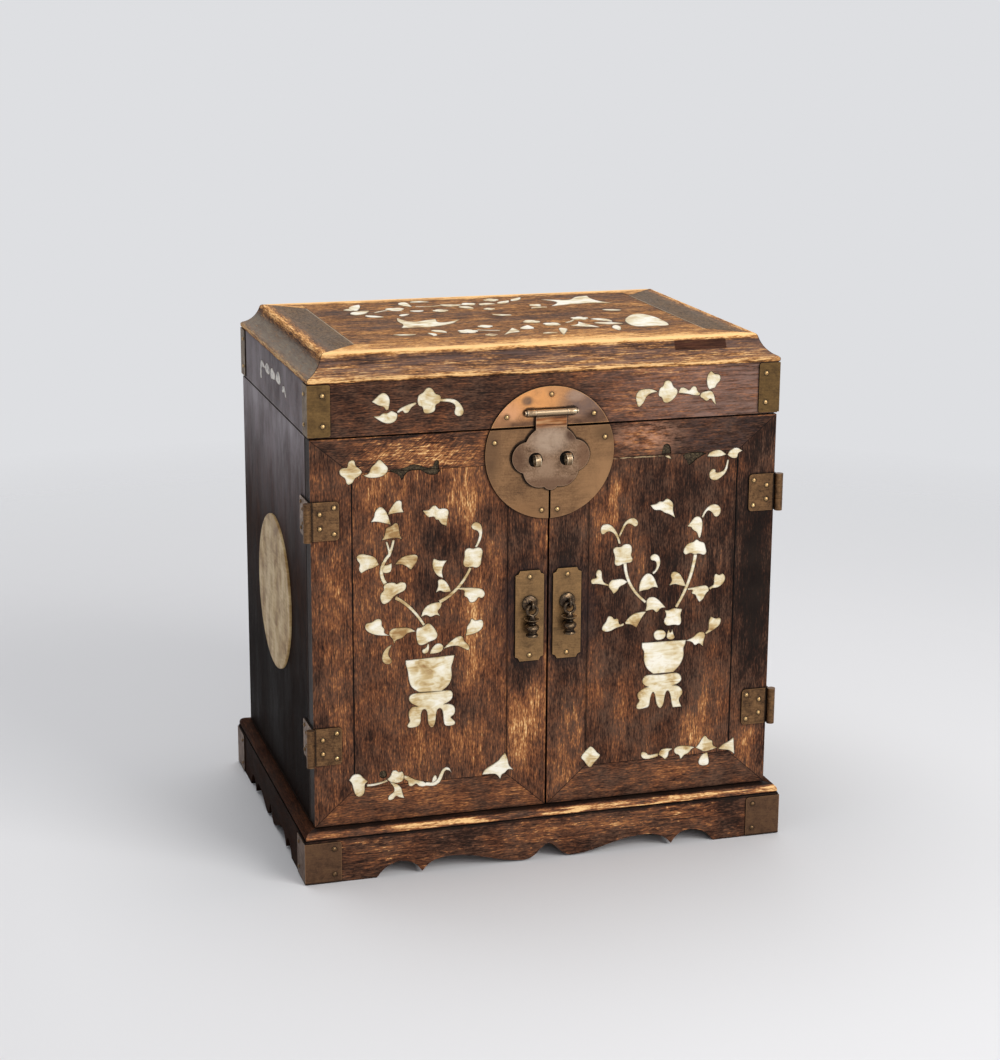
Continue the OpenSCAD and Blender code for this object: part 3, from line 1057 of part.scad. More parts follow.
module lid_board_inlays() {
    color(shell) {
        slab_y(inlay_y0, inlay_y1) front_sprigs();
        both_sides() slab_x(inlay_x0, inlay_x1) side_sprig();
    }
}

// Section of a top rail: distance in from the lip, height above the boards
rail_reach = lip + top_inset;
function rail_section(w) = concat([[rail_reach + w, 0], [rail_reach + w, top_h], [rail_reach + 0.8, top_h]],
    curve([rail_reach + 0.8, top_h], [rail_reach - 0.6, top_h], [rail_reach - 1.4, top_h - 0.8],
        [rail_reach - 1.8, top_h - 2.6], 4),
    curve([rail_reach - 1.8, top_h - 2.6], [rail_reach - 3.6, top_h - 8], [rail_reach - 7, lip_h + 2],
        [1.2, lip_h], 8),
    [[0.3, lip_h - 0.8], [0, lip_h/2], [0.3, 0]]);

lip_x = half_w + lip;
lip_y = front_y - lip;
lip_back = back_y + lip;
side_rail_w = rail_reach + top_side_w;
front_rail_w = rail_reach + top_front_w;
back_rail_w = rail_reach + top_back_w;
well_x = lip_x - side_rail_w;
well_y0 = lip_y + front_rail_w;
well_y1 = lip_back - back_rail_w;
top_tongue_t = 4;
top_tongue_z = top_z - top_panel_t;

module top_panel_groove() {
    reach = tongue_l + groove_fit;
    block([-well_x - reach, well_y0 - reach, top_tongue_z - groove_fit],
        [well_x + reach, well_y1 + reach, top_tongue_z + top_tongue_t + groove_fit]);
}

module top_pockets() {
    slab_z(top_z + inlay_proud - inlay_t, top_z + 1) translate([0, mid_y])
        pieces(top_inlay, top_art, inlay_gap);
}

// Each rail meets the next in a mitre that carries the moulding round
module lid_top_frame() {
    m = min(side_rail_w, back_rail_w);
    color(rosewood) difference() {
        translate([0, 0, lid_top]) {
            intersection() {
                slab_x(-lip_x, lip_x) polygon([for (p = rail_section(top_front_w)) [lip_y + p.x, p.y]]);
                slab_z(0, top_h) polygon([[-lip_x, lip_y], [lip_x, lip_y],
                    [well_x, lip_y + side_rail_w], [well_x, well_y0],
                    [-well_x, well_y0], [-well_x, lip_y + side_rail_w]]);
            }
            intersection() {
                slab_x(-lip_x, lip_x) polygon([for (p = rail_section(top_back_w)) [lip_back - p.x, p.y]]);
                slab_z(0, top_h) polygon([[-lip_x, lip_back], [-lip_x + m, lip_back - m],
                    [lip_x - m, lip_back - m], [lip_x, lip_back]]);
            }
            both_sides() intersection() {
                slab_y(lip_y, lip_back) polygon([for (p = rail_section(top_side_w)) [-lip_x + p.x, p.y]]);
                slab_z(0, top_h) polygon([[-lip_x, lip_y], [-well_x, lip_y + side_rail_w],
                    [-well_x, well_y1], [-lip_x + m, lip_back - m], [-lip_x, lip_back]]);
            }
        }
        top_panel_groove();
        top_pockets();
    }
}

module lid_top_panel() {
    color(rosewood) difference() {
        union() {
            block([-well_x + panel_gap, well_y0 + panel_gap, top_tongue_z],
                [well_x - panel_gap, well_y1 - panel_gap, top_z - panel_set]);
            block([-well_x - tongue_l, well_y0 - tongue_l, top_tongue_z],
                [well_x + tongue_l, well_y1 + tongue_l, top_tongue_z + top_tongue_t]);
        }
        top_pockets();
    }
}

module lid_top_inlay() {
    color(shell) slab_z(top_z + inlay_proud - inlay_t, top_z + inlay_proud)
        translate([0, mid_y]) pieces(top_inlay, top_art);
}

module strap() {
    difference() {
        corner_leaf(-half_w, front_y, lid_bottom + strap_inset, strap_w,
            lid_board_h - 2*strap_inset, strap_t, 1.5);
        lid_board_nails();
    }
}

module lid_corner_straps() {
    color(old_brass) both_sides() {
        strap();
        flip_y() strap();
    }
}

// LOCK
module lid_lock_plate() {
    color(copper_brass) difference() {
        slab_y(plate_y, front_y) difference() {
            translate([0, lock_z]) circle(lock_r, $fn = 96);
            translate([-lock_r - 1, lock_z - lock_r - 1])
                square([2*lock_r + 2, lid_bottom + plate_set - lock_z + lock_r + 1]);
        }
        on_front(plate_y, lid_lock_nails) nail_hole();
    }
}

// The lower left quarter, on the door
module lock_quarter() {
    difference() {
        slab_y(plate_y, front_y) intersection() {
            translate([0, lock_z]) circle(lock_r, $fn = 96);
            translate([-lock_r - 1, lock_z - lock_r - 1])
                square([lock_r + 1 - door_gap/2, door_z1 - lock_z + lock_r + 1]);
        }
        on_front(plate_y, lock_nails) nail_hole();
        staple_shank(nail_fit);
    }
}

// The eye that a lock bar goes through, on a shank through plate and door
module staple_shank(extra) {
    translate([-staple_gap/2, plate_y, staple_z]) rotate([-90, 0, 0])
        cylinder(h = 10, r = staple_shank_r + extra);
}

module lock_staple() {
    difference() {
        union() {
            translate([-staple_gap/2, staple_y, staple_z]) rotate([0, 90, 0])
                cylinder(h = staple_w, r = staple_eye_r, center = true);
            block([-staple_gap/2 - staple_w/2, staple_y, staple_z - 2.4],
                [-staple_gap/2 + staple_w/2, plate_y, staple_z + 2.4]);
            staple_shank(0);
        }
        translate([-staple_gap/2, staple_y, staple_z]) rotate([0, 90, 0])
            cylinder(h = 2*staple_w, r = staple_bore_r, center = true);
    }
}

// Rod and two eyes that hold the hasp on the lid
module hasp_pin() {
    color(old_brass) {
        translate([0, hasp_pin_y, hasp_pin_z]) rotate([0, 90, 0]) {
            cylinder(h = neck_w + 2*eye_w + 2, r = hasp_pin_r, center = true);
            for (s = [-1, 1]) translate([0, 0, s*(neck_w/2 + eye_w + 1.3)])
                cylinder(h = 1, r = hasp_pin_r + 0.5, center = true);
        }
        both_sides() difference() {
            union() {
                translate([-neck_w/2 - knuckle_gap - eye_w/2, hasp_pin_y, hasp_pin_z]) rotate([0, 90, 0])
                    cylinder(h = eye_w, r = barrel_r, center = true);
                block([-neck_w/2 - knuckle_gap - eye_w, hasp_pin_y, hasp_pin_z - 2],
                    [-neck_w/2 - knuckle_gap, plate_y, hasp_pin_z + 2]);
            }
            translate([0, hasp_pin_y, hasp_pin_z]) rotate([0, 90, 0])
                cylinder(h = 4*neck_w, r = hasp_pin_r + 0.03, center = true);
        }
    }
}

// Cloud outline of the hasp, from circles that meet in cusps
module hasp_outline() {
    w = hasp_w;
    translate([-neck_w/2, staple_z + w/4]) square([neck_w, staple_drop - w/4]);
    for (lobe = [[0, 0.08, 0.355], [0.3, 0.03, 0.2], [-0.3, 0.03, 0.2],
        [0.134, -0.127, 0.225], [-0.134, -0.127, 0.225], [0, -0.29, 0.1]])
        translate([lobe[0]*w, staple_z + lobe[1]*w]) circle(lobe[2]*w);
}

module hasp() {
    color(copper_brass) difference() {
        union() {
            slab_y(hasp_back_y - hasp_t, hasp_back_y) hasp_outline();
            translate([0, hasp_pin_y, hasp_pin_z]) rotate([0, 90, 0])
                cylinder(h = neck_w, r = barrel_r, center = true);
        }
        translate([0, hasp_pin_y, hasp_pin_z]) rotate([0, 90, 0])
            cylinder(h = neck_w + 2, r = hasp_pin_r + pin_fit, center = true);
        for (s = [-1, 1]) translate([s*staple_gap/2, hasp_back_y + 1, staple_z]) rotate([90, 0, 0])
            cylinder(h = hasp_t + 2, r = hasp_hole_r);
    }
}

module lid_nails() {
    color(old_brass) {
        on_front(plate_y, lid_lock_nails) nail();
        both_sides() {
            on_front(front_y - strap_t, strap_nails) nail();
            on_left(-half_w - strap_t, strap_side_nails) nail();
            flip_y() {
                on_front(front_y - strap_t, strap_nails) nail();
                on_left(-half_w - strap_t, strap_side_nails) nail();
            }
        }
        on_back(back_y + leaf_t, lid_leaf_nails) nail();
    }
}

// DOORS
// The parts of the left door; the right door is its mirror image
module groove() {
    reach = tongue_l + groove_fit;
    block([open_x0 - reach, tongue_y - groove_fit, open_z0 - reach],
        [open_x1 + reach, tongue_y + tongue_t + groove_fit, open_z1 + reach]);
}

module door_nail_holes() {
    on_front(front_y - leaf_t, door_leaf_nails) nail_hole();
    on_front(plate_y, lock_nails) nail_hole();
    on_front(plate_y, pull_nails) nail_hole();
    staple_shank(nail_fit);
    pull_shank(nail_fit);
}

module stiles() {
    difference() {
        slab_y(front_y, front_y + door_t) {
            polygon([[door_x0, door_z0], [open_x0, open_z0], [open_x0, open_z1], [door_x0, door_z1]]);
            polygon([[door_x1, door_z0], [door_x1, door_z1], [open_x1, open_z1], [open_x1, open_z0]]);
        }
        groove();
        door_nail_holes();
    }
}

module rails() {
    difference() {
        slab_y(front_y, front_y + door_t) {
            polygon([[door_x0, door_z0], [door_x1, door_z0], [open_x1, open_z0], [open_x0, open_z0]]);
            polygon([[door_x0, door_z1], [open_x0, open_z1], [open_x1, open_z1], [door_x1, door_z1]]);
        }
        groove();
        door_nail_holes();
    }
}

module door_panel() {
    block([open_x0 + panel_gap, front_y + panel_set, open_z0 + panel_gap],
        [open_x1 - panel_gap, front_y + panel_t, open_z1 - panel_gap]);
    block([open_x0 - tongue_l, tongue_y, open_z0 - tongue_l],
        [open_x1 + tongue_l, tongue_y + tongue_t, open_z1 + tongue_l]);
}

// Pockets for a door's inlay, and shallower ones where shell is lost
module left_pockets() {
    translate([panel_x, 0, panel_z]) {
        slab_y(front_y - 1, inlay_y1) pieces(left_inlay, door_art, inlay_gap);
        slab_y(front_y - 1, front_y + lost_depth) pieces(left_lost, door_art);
    }
}

module right_pockets() {
    translate([-panel_x, 0, panel_z]) {
        slab_y(front_y - 1, inlay_y1) pieces(right_inlay, door_art, inlay_gap);
        slab_y(front_y - 1, front_y + lost_depth) pieces(right_lost, door_art);
    }
}

module left_door_stiles() {
    color(rosewood) difference() {
        stiles();
        left_pockets();
    }
}

module right_door_stiles() {
    color(rosewood) difference() {
        flip_x() stiles();
        right_pockets();
    }
}

module left_door_rails() {
    color(rosewood) difference() {
        rails();
        left_pockets();
    }
}

module right_door_rails() {
    color(rosewood) difference() {
        flip_x() rails();
        right_pockets();
    }
}

module left_door_panel() {
    color(rosewood) difference() {
        door_panel();
        left_pockets();
    }
}

module right_door_panel() {
    color(rosewood) difference() {
        flip_x() door_panel();
        right_pockets();
    }
}

module left_door_inlay() {
    color(shell) slab_y(inlay_y0, inlay_y1) translate([panel_x, panel_z]) pieces(left_inlay, door_art);
}

module right_door_inlay() {
    color(shell) slab_y(inlay_y0, inlay_y1) translate([-panel_x, panel_z]) pieces(right_inlay, door_art);
}

// PULLS
module pull_plate() {
    notch = 2.2;
    w = pull_w/2;
    h = pull_h/2;
    corner = [[w, h - notch - 1], [w - notch, h - notch], [w - notch - 1, h]];
    lower = [[w - notch - 1, -h], [w - notch, -h + notch], [w, -h + notch + 1]];
    right = concat(lower, corner);
    difference() {
        slab_y(plate_y, front_y) translate([-pull_x, pull_z]) polygon(concat(right, flipped(right)));
        on_front(plate_y, pull_nails) nail_hole();
        pull_shank(nail_fit);
    }
}

// The shank of the eye, through the plate and the door
module pull_shank(extra) {
    translate([-pull_x, plate_y, pull_eye_z]) rotate([-90, 0, 0]) cylinder(h = 11, r = 1.3 + extra);
}

// A rosette and a ring that the drop hangs in
module pull_eye() {
    translate([-pull_x, plate_y, pull_eye_z]) rotate([90, 0, 0])
        rotate_extrude() polygon(concat([[0, 0], [rosette_r, 0]],
            curve([rosette_r, 0], [rosette_r, 1], [rosette_r - 2, 1.2], [1.4, 2], 5), [[0, 2]]));
    pull_shank(0);
    difference() {
        union() {
            translate([-pull_x, pull_eye_y, pull_eye_z]) rotate([0, 90, 0])
                rotate_extrude() translate([eye_r, 0]) circle(eye_wire, $fn = 24);
            translate([-pull_x, plate_y - 0.5, pull_eye_z]) rotate([90, 0, 0])
                cylinder(h = plate_y - 0.5 - pull_eye_y - eye_r, r = eye_wire);
        }
        translate([-pull_x, pull_eye_y, pull_eye_z]) rotate([0, 90, 0])
            cylinder(h = 10, r = eye_r - eye_wire, center = true);
    }
}

// A loop with a turned pendant: saucer, neck, vase and foot
module pull_drop() {
    z = pull_eye_z - loop_r;
    end = pull_eye_z - drop_l;
    stem_z = z - loop_r;
    translate([-pull_x, pull_eye_y, 0]) {
        translate([0, 0, z]) rotate([90, 0, 0])
            rotate_extrude() translate([loop_r, 0]) circle(loop_wire, $fn = 24);
        translate([0, 0, end]) rotate_extrude() polygon(concat(
            [[0, 0], [vase_r - 1, 0]],
            curve([vase_r - 1, 0], [vase_r - 0.3, 0.6], [vase_r - 0.6, 1.4], [3.2, 2.2], 4),
            curve([3.2, 2.2], [2.9, 3.6], [vase_r - 0.2, 4.6], [vase_r, 6.4], 5),
            curve([vase_r, 6.4], [vase_r, 8], [2.6, 8.6], [2.4, 9.6], 5),
            curve([2.4, 9.6], [3, 10.6], [4.6, 11], [saucer_r, 12.6], 4),
            curve([saucer_r, 12.6], [4.2, 12.4], [2.4, 12], [1.5, stem_z - end + 0.4], 5),
            [[0, stem_z - end + 0.4]]));
    }
}

module left_pull_plate() {
    color(old_brass) pull_plate();
}

module right_pull_plate() {
    color(old_brass) flip_x() pull_plate();
}

module left_pull_eye() {
    color(old_brass) pull_eye();
}

module right_pull_eye() {
    color(old_brass) flip_x() pull_eye();
}

module left_pull_drop() {
    color(old_brass) pull_drop();
}

module right_pull_drop() {
    color(old_brass) flip_x() pull_drop();
}

module left_door_hinge_leaves() {
    door_hinge_leaves();
}

module right_door_hinge_leaves() {
    flip_x() door_hinge_leaves();
}

module left_lock_plate() {
    color(old_brass) lock_quarter();
}

module right_lock_plate() {
    color(old_brass) flip_x() lock_quarter();
}

module left_lock_staple() {
    color(old_brass) lock_staple();
}

module right_lock_staple() {
    color(old_brass) flip_x() lock_staple();
}

module door_nails() {
    color(old_brass) {
        on_front(front_y - leaf_t, door_leaf_nails) nail();
        on_front(plate_y, lock_nails) nail();
        on_front(plate_y, pull_nails) nail();
    }
}

module left_door_nails() {
    door_nails();
}

module right_door_nails() {
    flip_x() door_nails();
}

// DRAWERS
// A drawer that fills the cell from x0, z0 to x1, z1
module drawer(x0, x1, z0, z1) {
    a = x0 + drawer_gap;
    b = x1 - drawer_gap;
    low = z0 + 0.3;
    high = z1 - drawer_gap;
    rim = high - 3;
    s = drawer_side_t;
    y1 = drawer_y + drawer_front_t;
    back = drawer_back_y - s;
    color(rosewood) block([a, drawer_y, low], [b, y1, high]);
    color(inner_wood) {
        block([a, y1, low], [a + s, drawer_back_y, rim]);
        block([b - s, y1, low], [b, drawer_back_y, rim]);
        block([a + s, back, low], [b - s, drawer_back_y, rim]);
        block([a + s, y1, low + 1.5], [b - s, back, low + 1.5 + drawer_bottom_t]);
    }
}

// A small turned knob on a rosette
module knob(x, z) {
    color(old_brass) translate([x, drawer_y, z]) rotate([90, 0, 0]) rotate_extrude()
        polygon(concat([[0, 0], [6, 0], [6, 0.7], [2, 1.2]],
            curve([2, 1.2], [1.2, 3.6], [3, 4], [3.8, 5.6], 5),
            curve([3.8, 5.6], [3.8, 7], [2, 8], [0, 8], 5)));
}

cell_x = (inner_x + divider_t/2)/2;
mid_row_z = (shelf_low_z + shelf_t + shelf_mid_z)/2;
top_row_z = row_top_z + row_top_h/2;
low_row_z = base_h + floor_t + row_low_h/2;

module upper_left_drawer() {
    drawer(-inner_x, -divider_t/2, row_top_z, row_top_z + row_top_h);
}

module upper_right_drawer() {
    drawer(divider_t/2, inner_x, row_top_z, row_top_z + row_top_h);
}

module middle_left_drawer() {
    drawer(-inner_x, -divider_t/2, shelf_low_z + shelf_t, shelf_mid_z);
}

module middle_right_drawer() {
    drawer(divider_t/2, inner_x, shelf_low_z + shelf_t, shelf_mid_z);
}

module bottom_drawer() {
    drawer(-inner_x, inner_x, base_h + floor_t, shelf_low_z);
}

module upper_left_drawer_pull() {
    knob(-cell_x, top_row_z);
}

module upper_right_drawer_pull() {
    knob(cell_x, top_row_z);
}

module middle_left_drawer_pull() {
    knob(-cell_x, mid_row_z);
}

module middle_right_drawer_pull() {
    knob(cell_x, mid_row_z);
}

module bottom_drawer_pull() {
    knob(0, low_row_z);
}

base_front_apron();
base_back_apron();
base_side_aprons();
base_corner_caps();
left_side_panel();
right_side_panel();
back_panel();
bottom_board();
tray_floor();
tray_front_board();
drawer_partitions();
side_discs();
door_hinge_side_leaves();
lid_hinge_body_leaves();
body_nails();
lid_front_board();
lid_back_board();
lid_side_boards();
lid_top_frame();
lid_top_panel();
lid_corner_straps();
lid_lock_plate();
hasp_pin();
lid_hinge_leaves();
lid_nails();
lid_board_inlays();
lid_top_inlay();
hasp();
left_door_stiles();
left_door_rails();
left_door_panel();
left_door_hinge_leaves();
left_lock_plate();
left_lock_staple();
left_pull_plate();
left_pull_eye();
left_door_nails();
left_door_inlay();
right_door_stiles();
right_door_rails();
right_door_panel();
right_door_hinge_leaves();
right_lock_plate();
right_lock_staple();
right_pull_plate();
right_pull_eye();
right_door_nails();
right_door_inlay();
left_pull_drop();
right_pull_drop();
upper_left_drawer();
upper_right_drawer();
middle_left_drawer();
middle_right_drawer();
bottom_drawer();
upper_left_drawer_pull();
upper_right_drawer_pull();
middle_left_drawer_pull();
middle_right_drawer_pull();
bottom_drawer_pull();
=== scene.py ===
"""Dresses the inlaid table cabinet: worn wood, tarnished brass and shell, a pale floor and soft light.

Lengths in the materials are millimetres in the frame of the part: the doors face -Y, +Z is up and the
floor is z = 0. Every colour is written as its sRGB value and turned to linear light by tone().
"""

import math

import bpy
from mathutils import Matrix, Vector

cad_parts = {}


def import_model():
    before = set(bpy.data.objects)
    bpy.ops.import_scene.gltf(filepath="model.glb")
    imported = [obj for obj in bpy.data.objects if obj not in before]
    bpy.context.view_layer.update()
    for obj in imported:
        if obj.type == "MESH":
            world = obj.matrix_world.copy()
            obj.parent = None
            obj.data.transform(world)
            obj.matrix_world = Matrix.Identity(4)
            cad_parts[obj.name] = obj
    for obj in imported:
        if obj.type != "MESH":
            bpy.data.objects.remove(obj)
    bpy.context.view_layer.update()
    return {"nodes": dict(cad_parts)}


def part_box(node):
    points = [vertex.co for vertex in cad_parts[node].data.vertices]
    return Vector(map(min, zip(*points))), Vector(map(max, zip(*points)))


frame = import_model()
nodes = frame["nodes"]

MM_PER_METRE = 1000


def millimetres(node):
    """The lowest and highest corner of a node of the part, in millimetres."""
    low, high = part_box(node)
    return low * MM_PER_METRE, high * MM_PER_METRE


# Places that the wear, the joint lines and the patches are tied to
PANEL_LOW, PANEL_HIGH = millimetres("left_door_panel")
DOOR_LOW, DOOR_HIGH = millimetres("left_door_rails")
TOP_LOW, TOP_HIGH = millimetres("lid_top_frame")
BEAD_TOP = millimetres("base_front_apron")[1].z
FRONT = DOOR_LOW.y
BACK = millimetres("lid_back_board")[1].y
DOOR_EDGE = -DOOR_LOW.x
MEETING_EDGE = -DOOR_HIGH.x
# How far the panel's tongue reaches into the grooves, past the joint that shows on the face
TONGUE = 4.0
OPEN_OUT = -(PANEL_LOW.x + TONGUE)
OPEN_IN = -(PANEL_HIGH.x - TONGUE)
OPEN_LOW = PANEL_LOW.z + TONGUE
OPEN_HIGH = PANEL_HIGH.z - TONGUE
# How deep the recesses lie whose shell is lost
LOST_DEPTH = 0.8

# PAINT
# Sockets of the mix node for each kind of value: first, second, result
MIX_SOCKETS = {"RGBA": (6, 7, 2), "VECTOR": (4, 5, 1)}
SHADE_SAMPLES = 8


def tone(red, green, blue):
    """An sRGB colour, 0 to 255, as linear light."""
    def linear(level):
        level /= 255
        return level / 12.92 if level <= 0.04045 else ((level + 0.055) / 1.055) ** 2.4
    return (linear(red), linear(green), linear(blue), 1.0)


class Paint:
    """One material, called p in the functions that mix it.

    A value handed to its methods is a socket or a plain number. place, x, y and z are the coordinates
    of the shaded point in millimetres.
    """

    def __init__(self, name):
        self.material = bpy.data.materials.new(name)
        self.material.use_nodes = True
        self.tree = self.material.node_tree
        self.tree.nodes.clear()
        out = self.tree.nodes.new("ShaderNodeOutputMaterial")
        self.shader = self.tree.nodes.new("ShaderNodeBsdfPrincipled")
        self.surface = out.inputs["Surface"]
        self.tree.links.new(self.shader.outputs[0], self.surface)
        metres = self.tree.nodes.new("ShaderNodeTexCoord").outputs["Object"]
        self.place = self.vector("MULTIPLY", metres, (MM_PER_METRE,) * 3)
        split = self.tree.nodes.new("ShaderNodeSeparateXYZ")
        self.tree.links.new(self.place, split.inputs[0])
        self.x, self.y, self.z = split.outputs

    def put(self, socket, value):
        if isinstance(value, bpy.types.NodeSocket):
            self.tree.links.new(value, socket)
        elif value is not None:
            socket.default_value = value

    def math(self, kind, a, b=None):
        node = self.tree.nodes.new("ShaderNodeMath")
        node.operation = kind
        self.put(node.inputs[0], a)
        self.put(node.inputs[1], b)
        return node.outputs[0]

    def vector(self, kind, a, b):
        node = self.tree.nodes.new("ShaderNodeVectorMath")
        node.operation = kind
        self.put(node.inputs[0], a)
        self.put(node.inputs[1], b)
        return node.outputs[0]

    def joined(self, x, y, z):
        """Coordinates made of three values."""
        node = self.tree.nodes.new("ShaderNodeCombineXYZ")
        for socket, value in zip(node.inputs, (x, y, z)):
            self.put(socket, value)
        return node.outputs[0]

    def add(self, *terms):
        """The sum of several values."""
        total = terms[0]
        for term in terms[1:]:
            total = self.math("ADD", total, term)
        return total

    def times(self, *factors):
        """The product of several values."""
        product = factors[0]
        for factor in factors[1:]:
            product = self.math("MULTIPLY", product, factor)
        return product

    def most(self, *values):
        """The highest of several values."""
        highest = values[0]
        for value in values[1:]:
            highest = self.math("MAXIMUM", highest, value)
        return highest

    def size_of(self, value):
        """The value without its sign."""
        return self.math("ABSOLUTE", value)

    def ramp(self, value, low, high, start=0.0, end=1.0):
        """Straight change from start to end while value goes from low to high, held outside."""
        node = self.tree.nodes.new("ShaderNodeMapRange")
        for socket, amount in zip(node.inputs, (value, low, high, start, end)):
            self.put(socket, amount)
        return node.outputs[0]

    def band(self, value, low, high, soft):
        """1 between low and high, fading to 0 over soft on both sides."""
        rise = self.ramp(value, low - soft, low + soft)
        fall = self.ramp(value, high - soft, high + soft, 1, 0)
        return self.times(rise, fall)

    def mix(self, share, a, b, kind="RGBA"):
        """a where share is 0 and b where it is 1: colours, or places with kind VECTOR."""
        node = self.tree.nodes.new("ShaderNodeMix")
        node.data_type = kind
        first, second, result = MIX_SOCKETS[kind]
        self.put(node.inputs[0], share)
        self.put(node.inputs[first], a)
        self.put(node.inputs[second], b)
        return node.outputs[result]

    def colours(self, value, stops):
        """The colour of the stops, each (position, colour), at value."""
        node = self.tree.nodes.new("ShaderNodeValToRGB")
        elements = node.color_ramp.elements
        while len(elements) < len(stops):
            elements.new(0.5)
        for element, (position, colour) in zip(elements, stops):
            element.position = position
            element.color = colour
        self.put(node.inputs[0], value)
        return node.outputs[0]

    def placed(self, lengths, shift=(0, 0, 0), source=None, turn=0.0):
        """Coordinates counted in the given lengths, one for each axis; 0 leaves an axis out."""
        node = self.tree.nodes.new("ShaderNodeMapping")
        scale = [1 / length if length else 0 for length in lengths]
        self.put(node.inputs["Vector"], source or self.place)
        node.inputs["Scale"].default_value = scale
        node.inputs["Location"].default_value = [-s * k for s, k in zip(shift, scale)]
        node.inputs["Rotation"].default_value = (0, turn, 0)
        return node.outputs[0]

    def noise(self, lengths, detail=2.0, rough=0.5, source=None, shift=(0, 0, 0), warp=0.0, output="Fac"):
        """Clouds of the given lengths along the three axes."""
        node = self.tree.nodes.new("ShaderNodeTexNoise")
        self.put(node.inputs["Vector"], self.placed(lengths, shift, source))
        node.inputs["Scale"].default_value = 1.0
        node.inputs["Detail"].default_value = detail
        node.inputs["Roughness"].default_value = rough
        node.inputs["Distortion"].default_value = warp
        return node.outputs[output]

    def clouded(self, middle, *parts):
        """A value that wavers round middle; parts are noises, each with its share."""
        average = 0.5 * sum(share for _, share in parts)
        return self.add(middle - average, *(self.times(noise, share) for noise, share in parts))

    def spot(self, centre, radii, source=None):
        """1 at the centre of an ellipsoid, 0 at its edge; a radius of 0 leaves that axis out."""
        node = self.tree.nodes.new("ShaderNodeTexGradient")
        node.gradient_type = "SPHERICAL"
        centre = [c if r else 0 for c, r in zip(centre, radii)]
        self.put(node.inputs["Vector"], self.placed(radii, centre, source))
        return node.outputs["Fac"]

    def crowded(self, reach, inside=False, clear=0.96, full=0.55):
        """How hemmed in a place is within reach: used for painted shade in corners and beside raised parts,
        or with inside to find the sharp outer edges.
        """
        node = self.tree.nodes.new("ShaderNodeAmbientOcclusion")
        node.samples = SHADE_SAMPLES
        node.inside = inside
        node.inputs["Distance"].default_value = reach / MM_PER_METRE
        return self.ramp(node.outputs["AO"], clear, full)

    def bump(self, height, depth, strength):
        """Relief of the given depth in millimetres."""
        node = self.tree.nodes.new("ShaderNodeBump")
        node.inputs["Strength"].default_value = strength
        node.inputs["Distance"].default_value = depth / MM_PER_METRE
        self.put(node.inputs["Height"], height)
        self.put(self.shader.inputs["Normal"], node.outputs[0])

    def set(self, **values):
        """Values of the shader by their names, such as base_color."""
        for name, value in values.items():
            self.put(self.shader.inputs[name.replace("_", " ").title().replace("Ior", "IOR")], value)


def give(node, paint):
    """Puts one material on every face of a node of the part."""
    slots = nodes[node].data.materials
    slots.clear()
    slots.append(paint.material)
    for face in nodes[node].data.polygons:
        face.material_index = 0


def flat_spots(rows):
    """Spots on the front plane, given as (x, z, radius x, radius z, amount or colour)."""
    return [((x, 0, z), (radius_x, 0, radius_z), amount) for x, z, radius_x, radius_z, amount in rows]


# WOOD
# Colours from dark and greasy to worn bare
OLD = [(0.0, tone(20, 11, 8)), (0.22, tone(46, 26, 18)), (0.42, tone(84, 50, 33)),
       (0.6, tone(126, 76, 48)), (0.8, tone(180, 120, 72)), (1.0, tone(250, 203, 140))]
GOLDEN = [(0.0, tone(24, 14, 9)), (0.22, tone(56, 34, 20)), (0.42, tone(98, 63, 38)),
          (0.6, tone(148, 99, 57)), (0.8, tone(202, 143, 83)), (1.0, tone(252, 204, 140))]
BARE = [(0.0, tone(70, 46, 30)), (0.5, tone(134, 98, 64)), (1.0, tone(190, 150, 106))]
BLACK = tone(10, 7, 6)
PORE = tone(20, 11, 8)
PATINA = tone(94, 78, 66)
DUST = tone(126, 114, 102)
GLUE = tone(74, 62, 46)
ALONG_X, ALONG_Y, ALONG_Z = 0, 1, 2


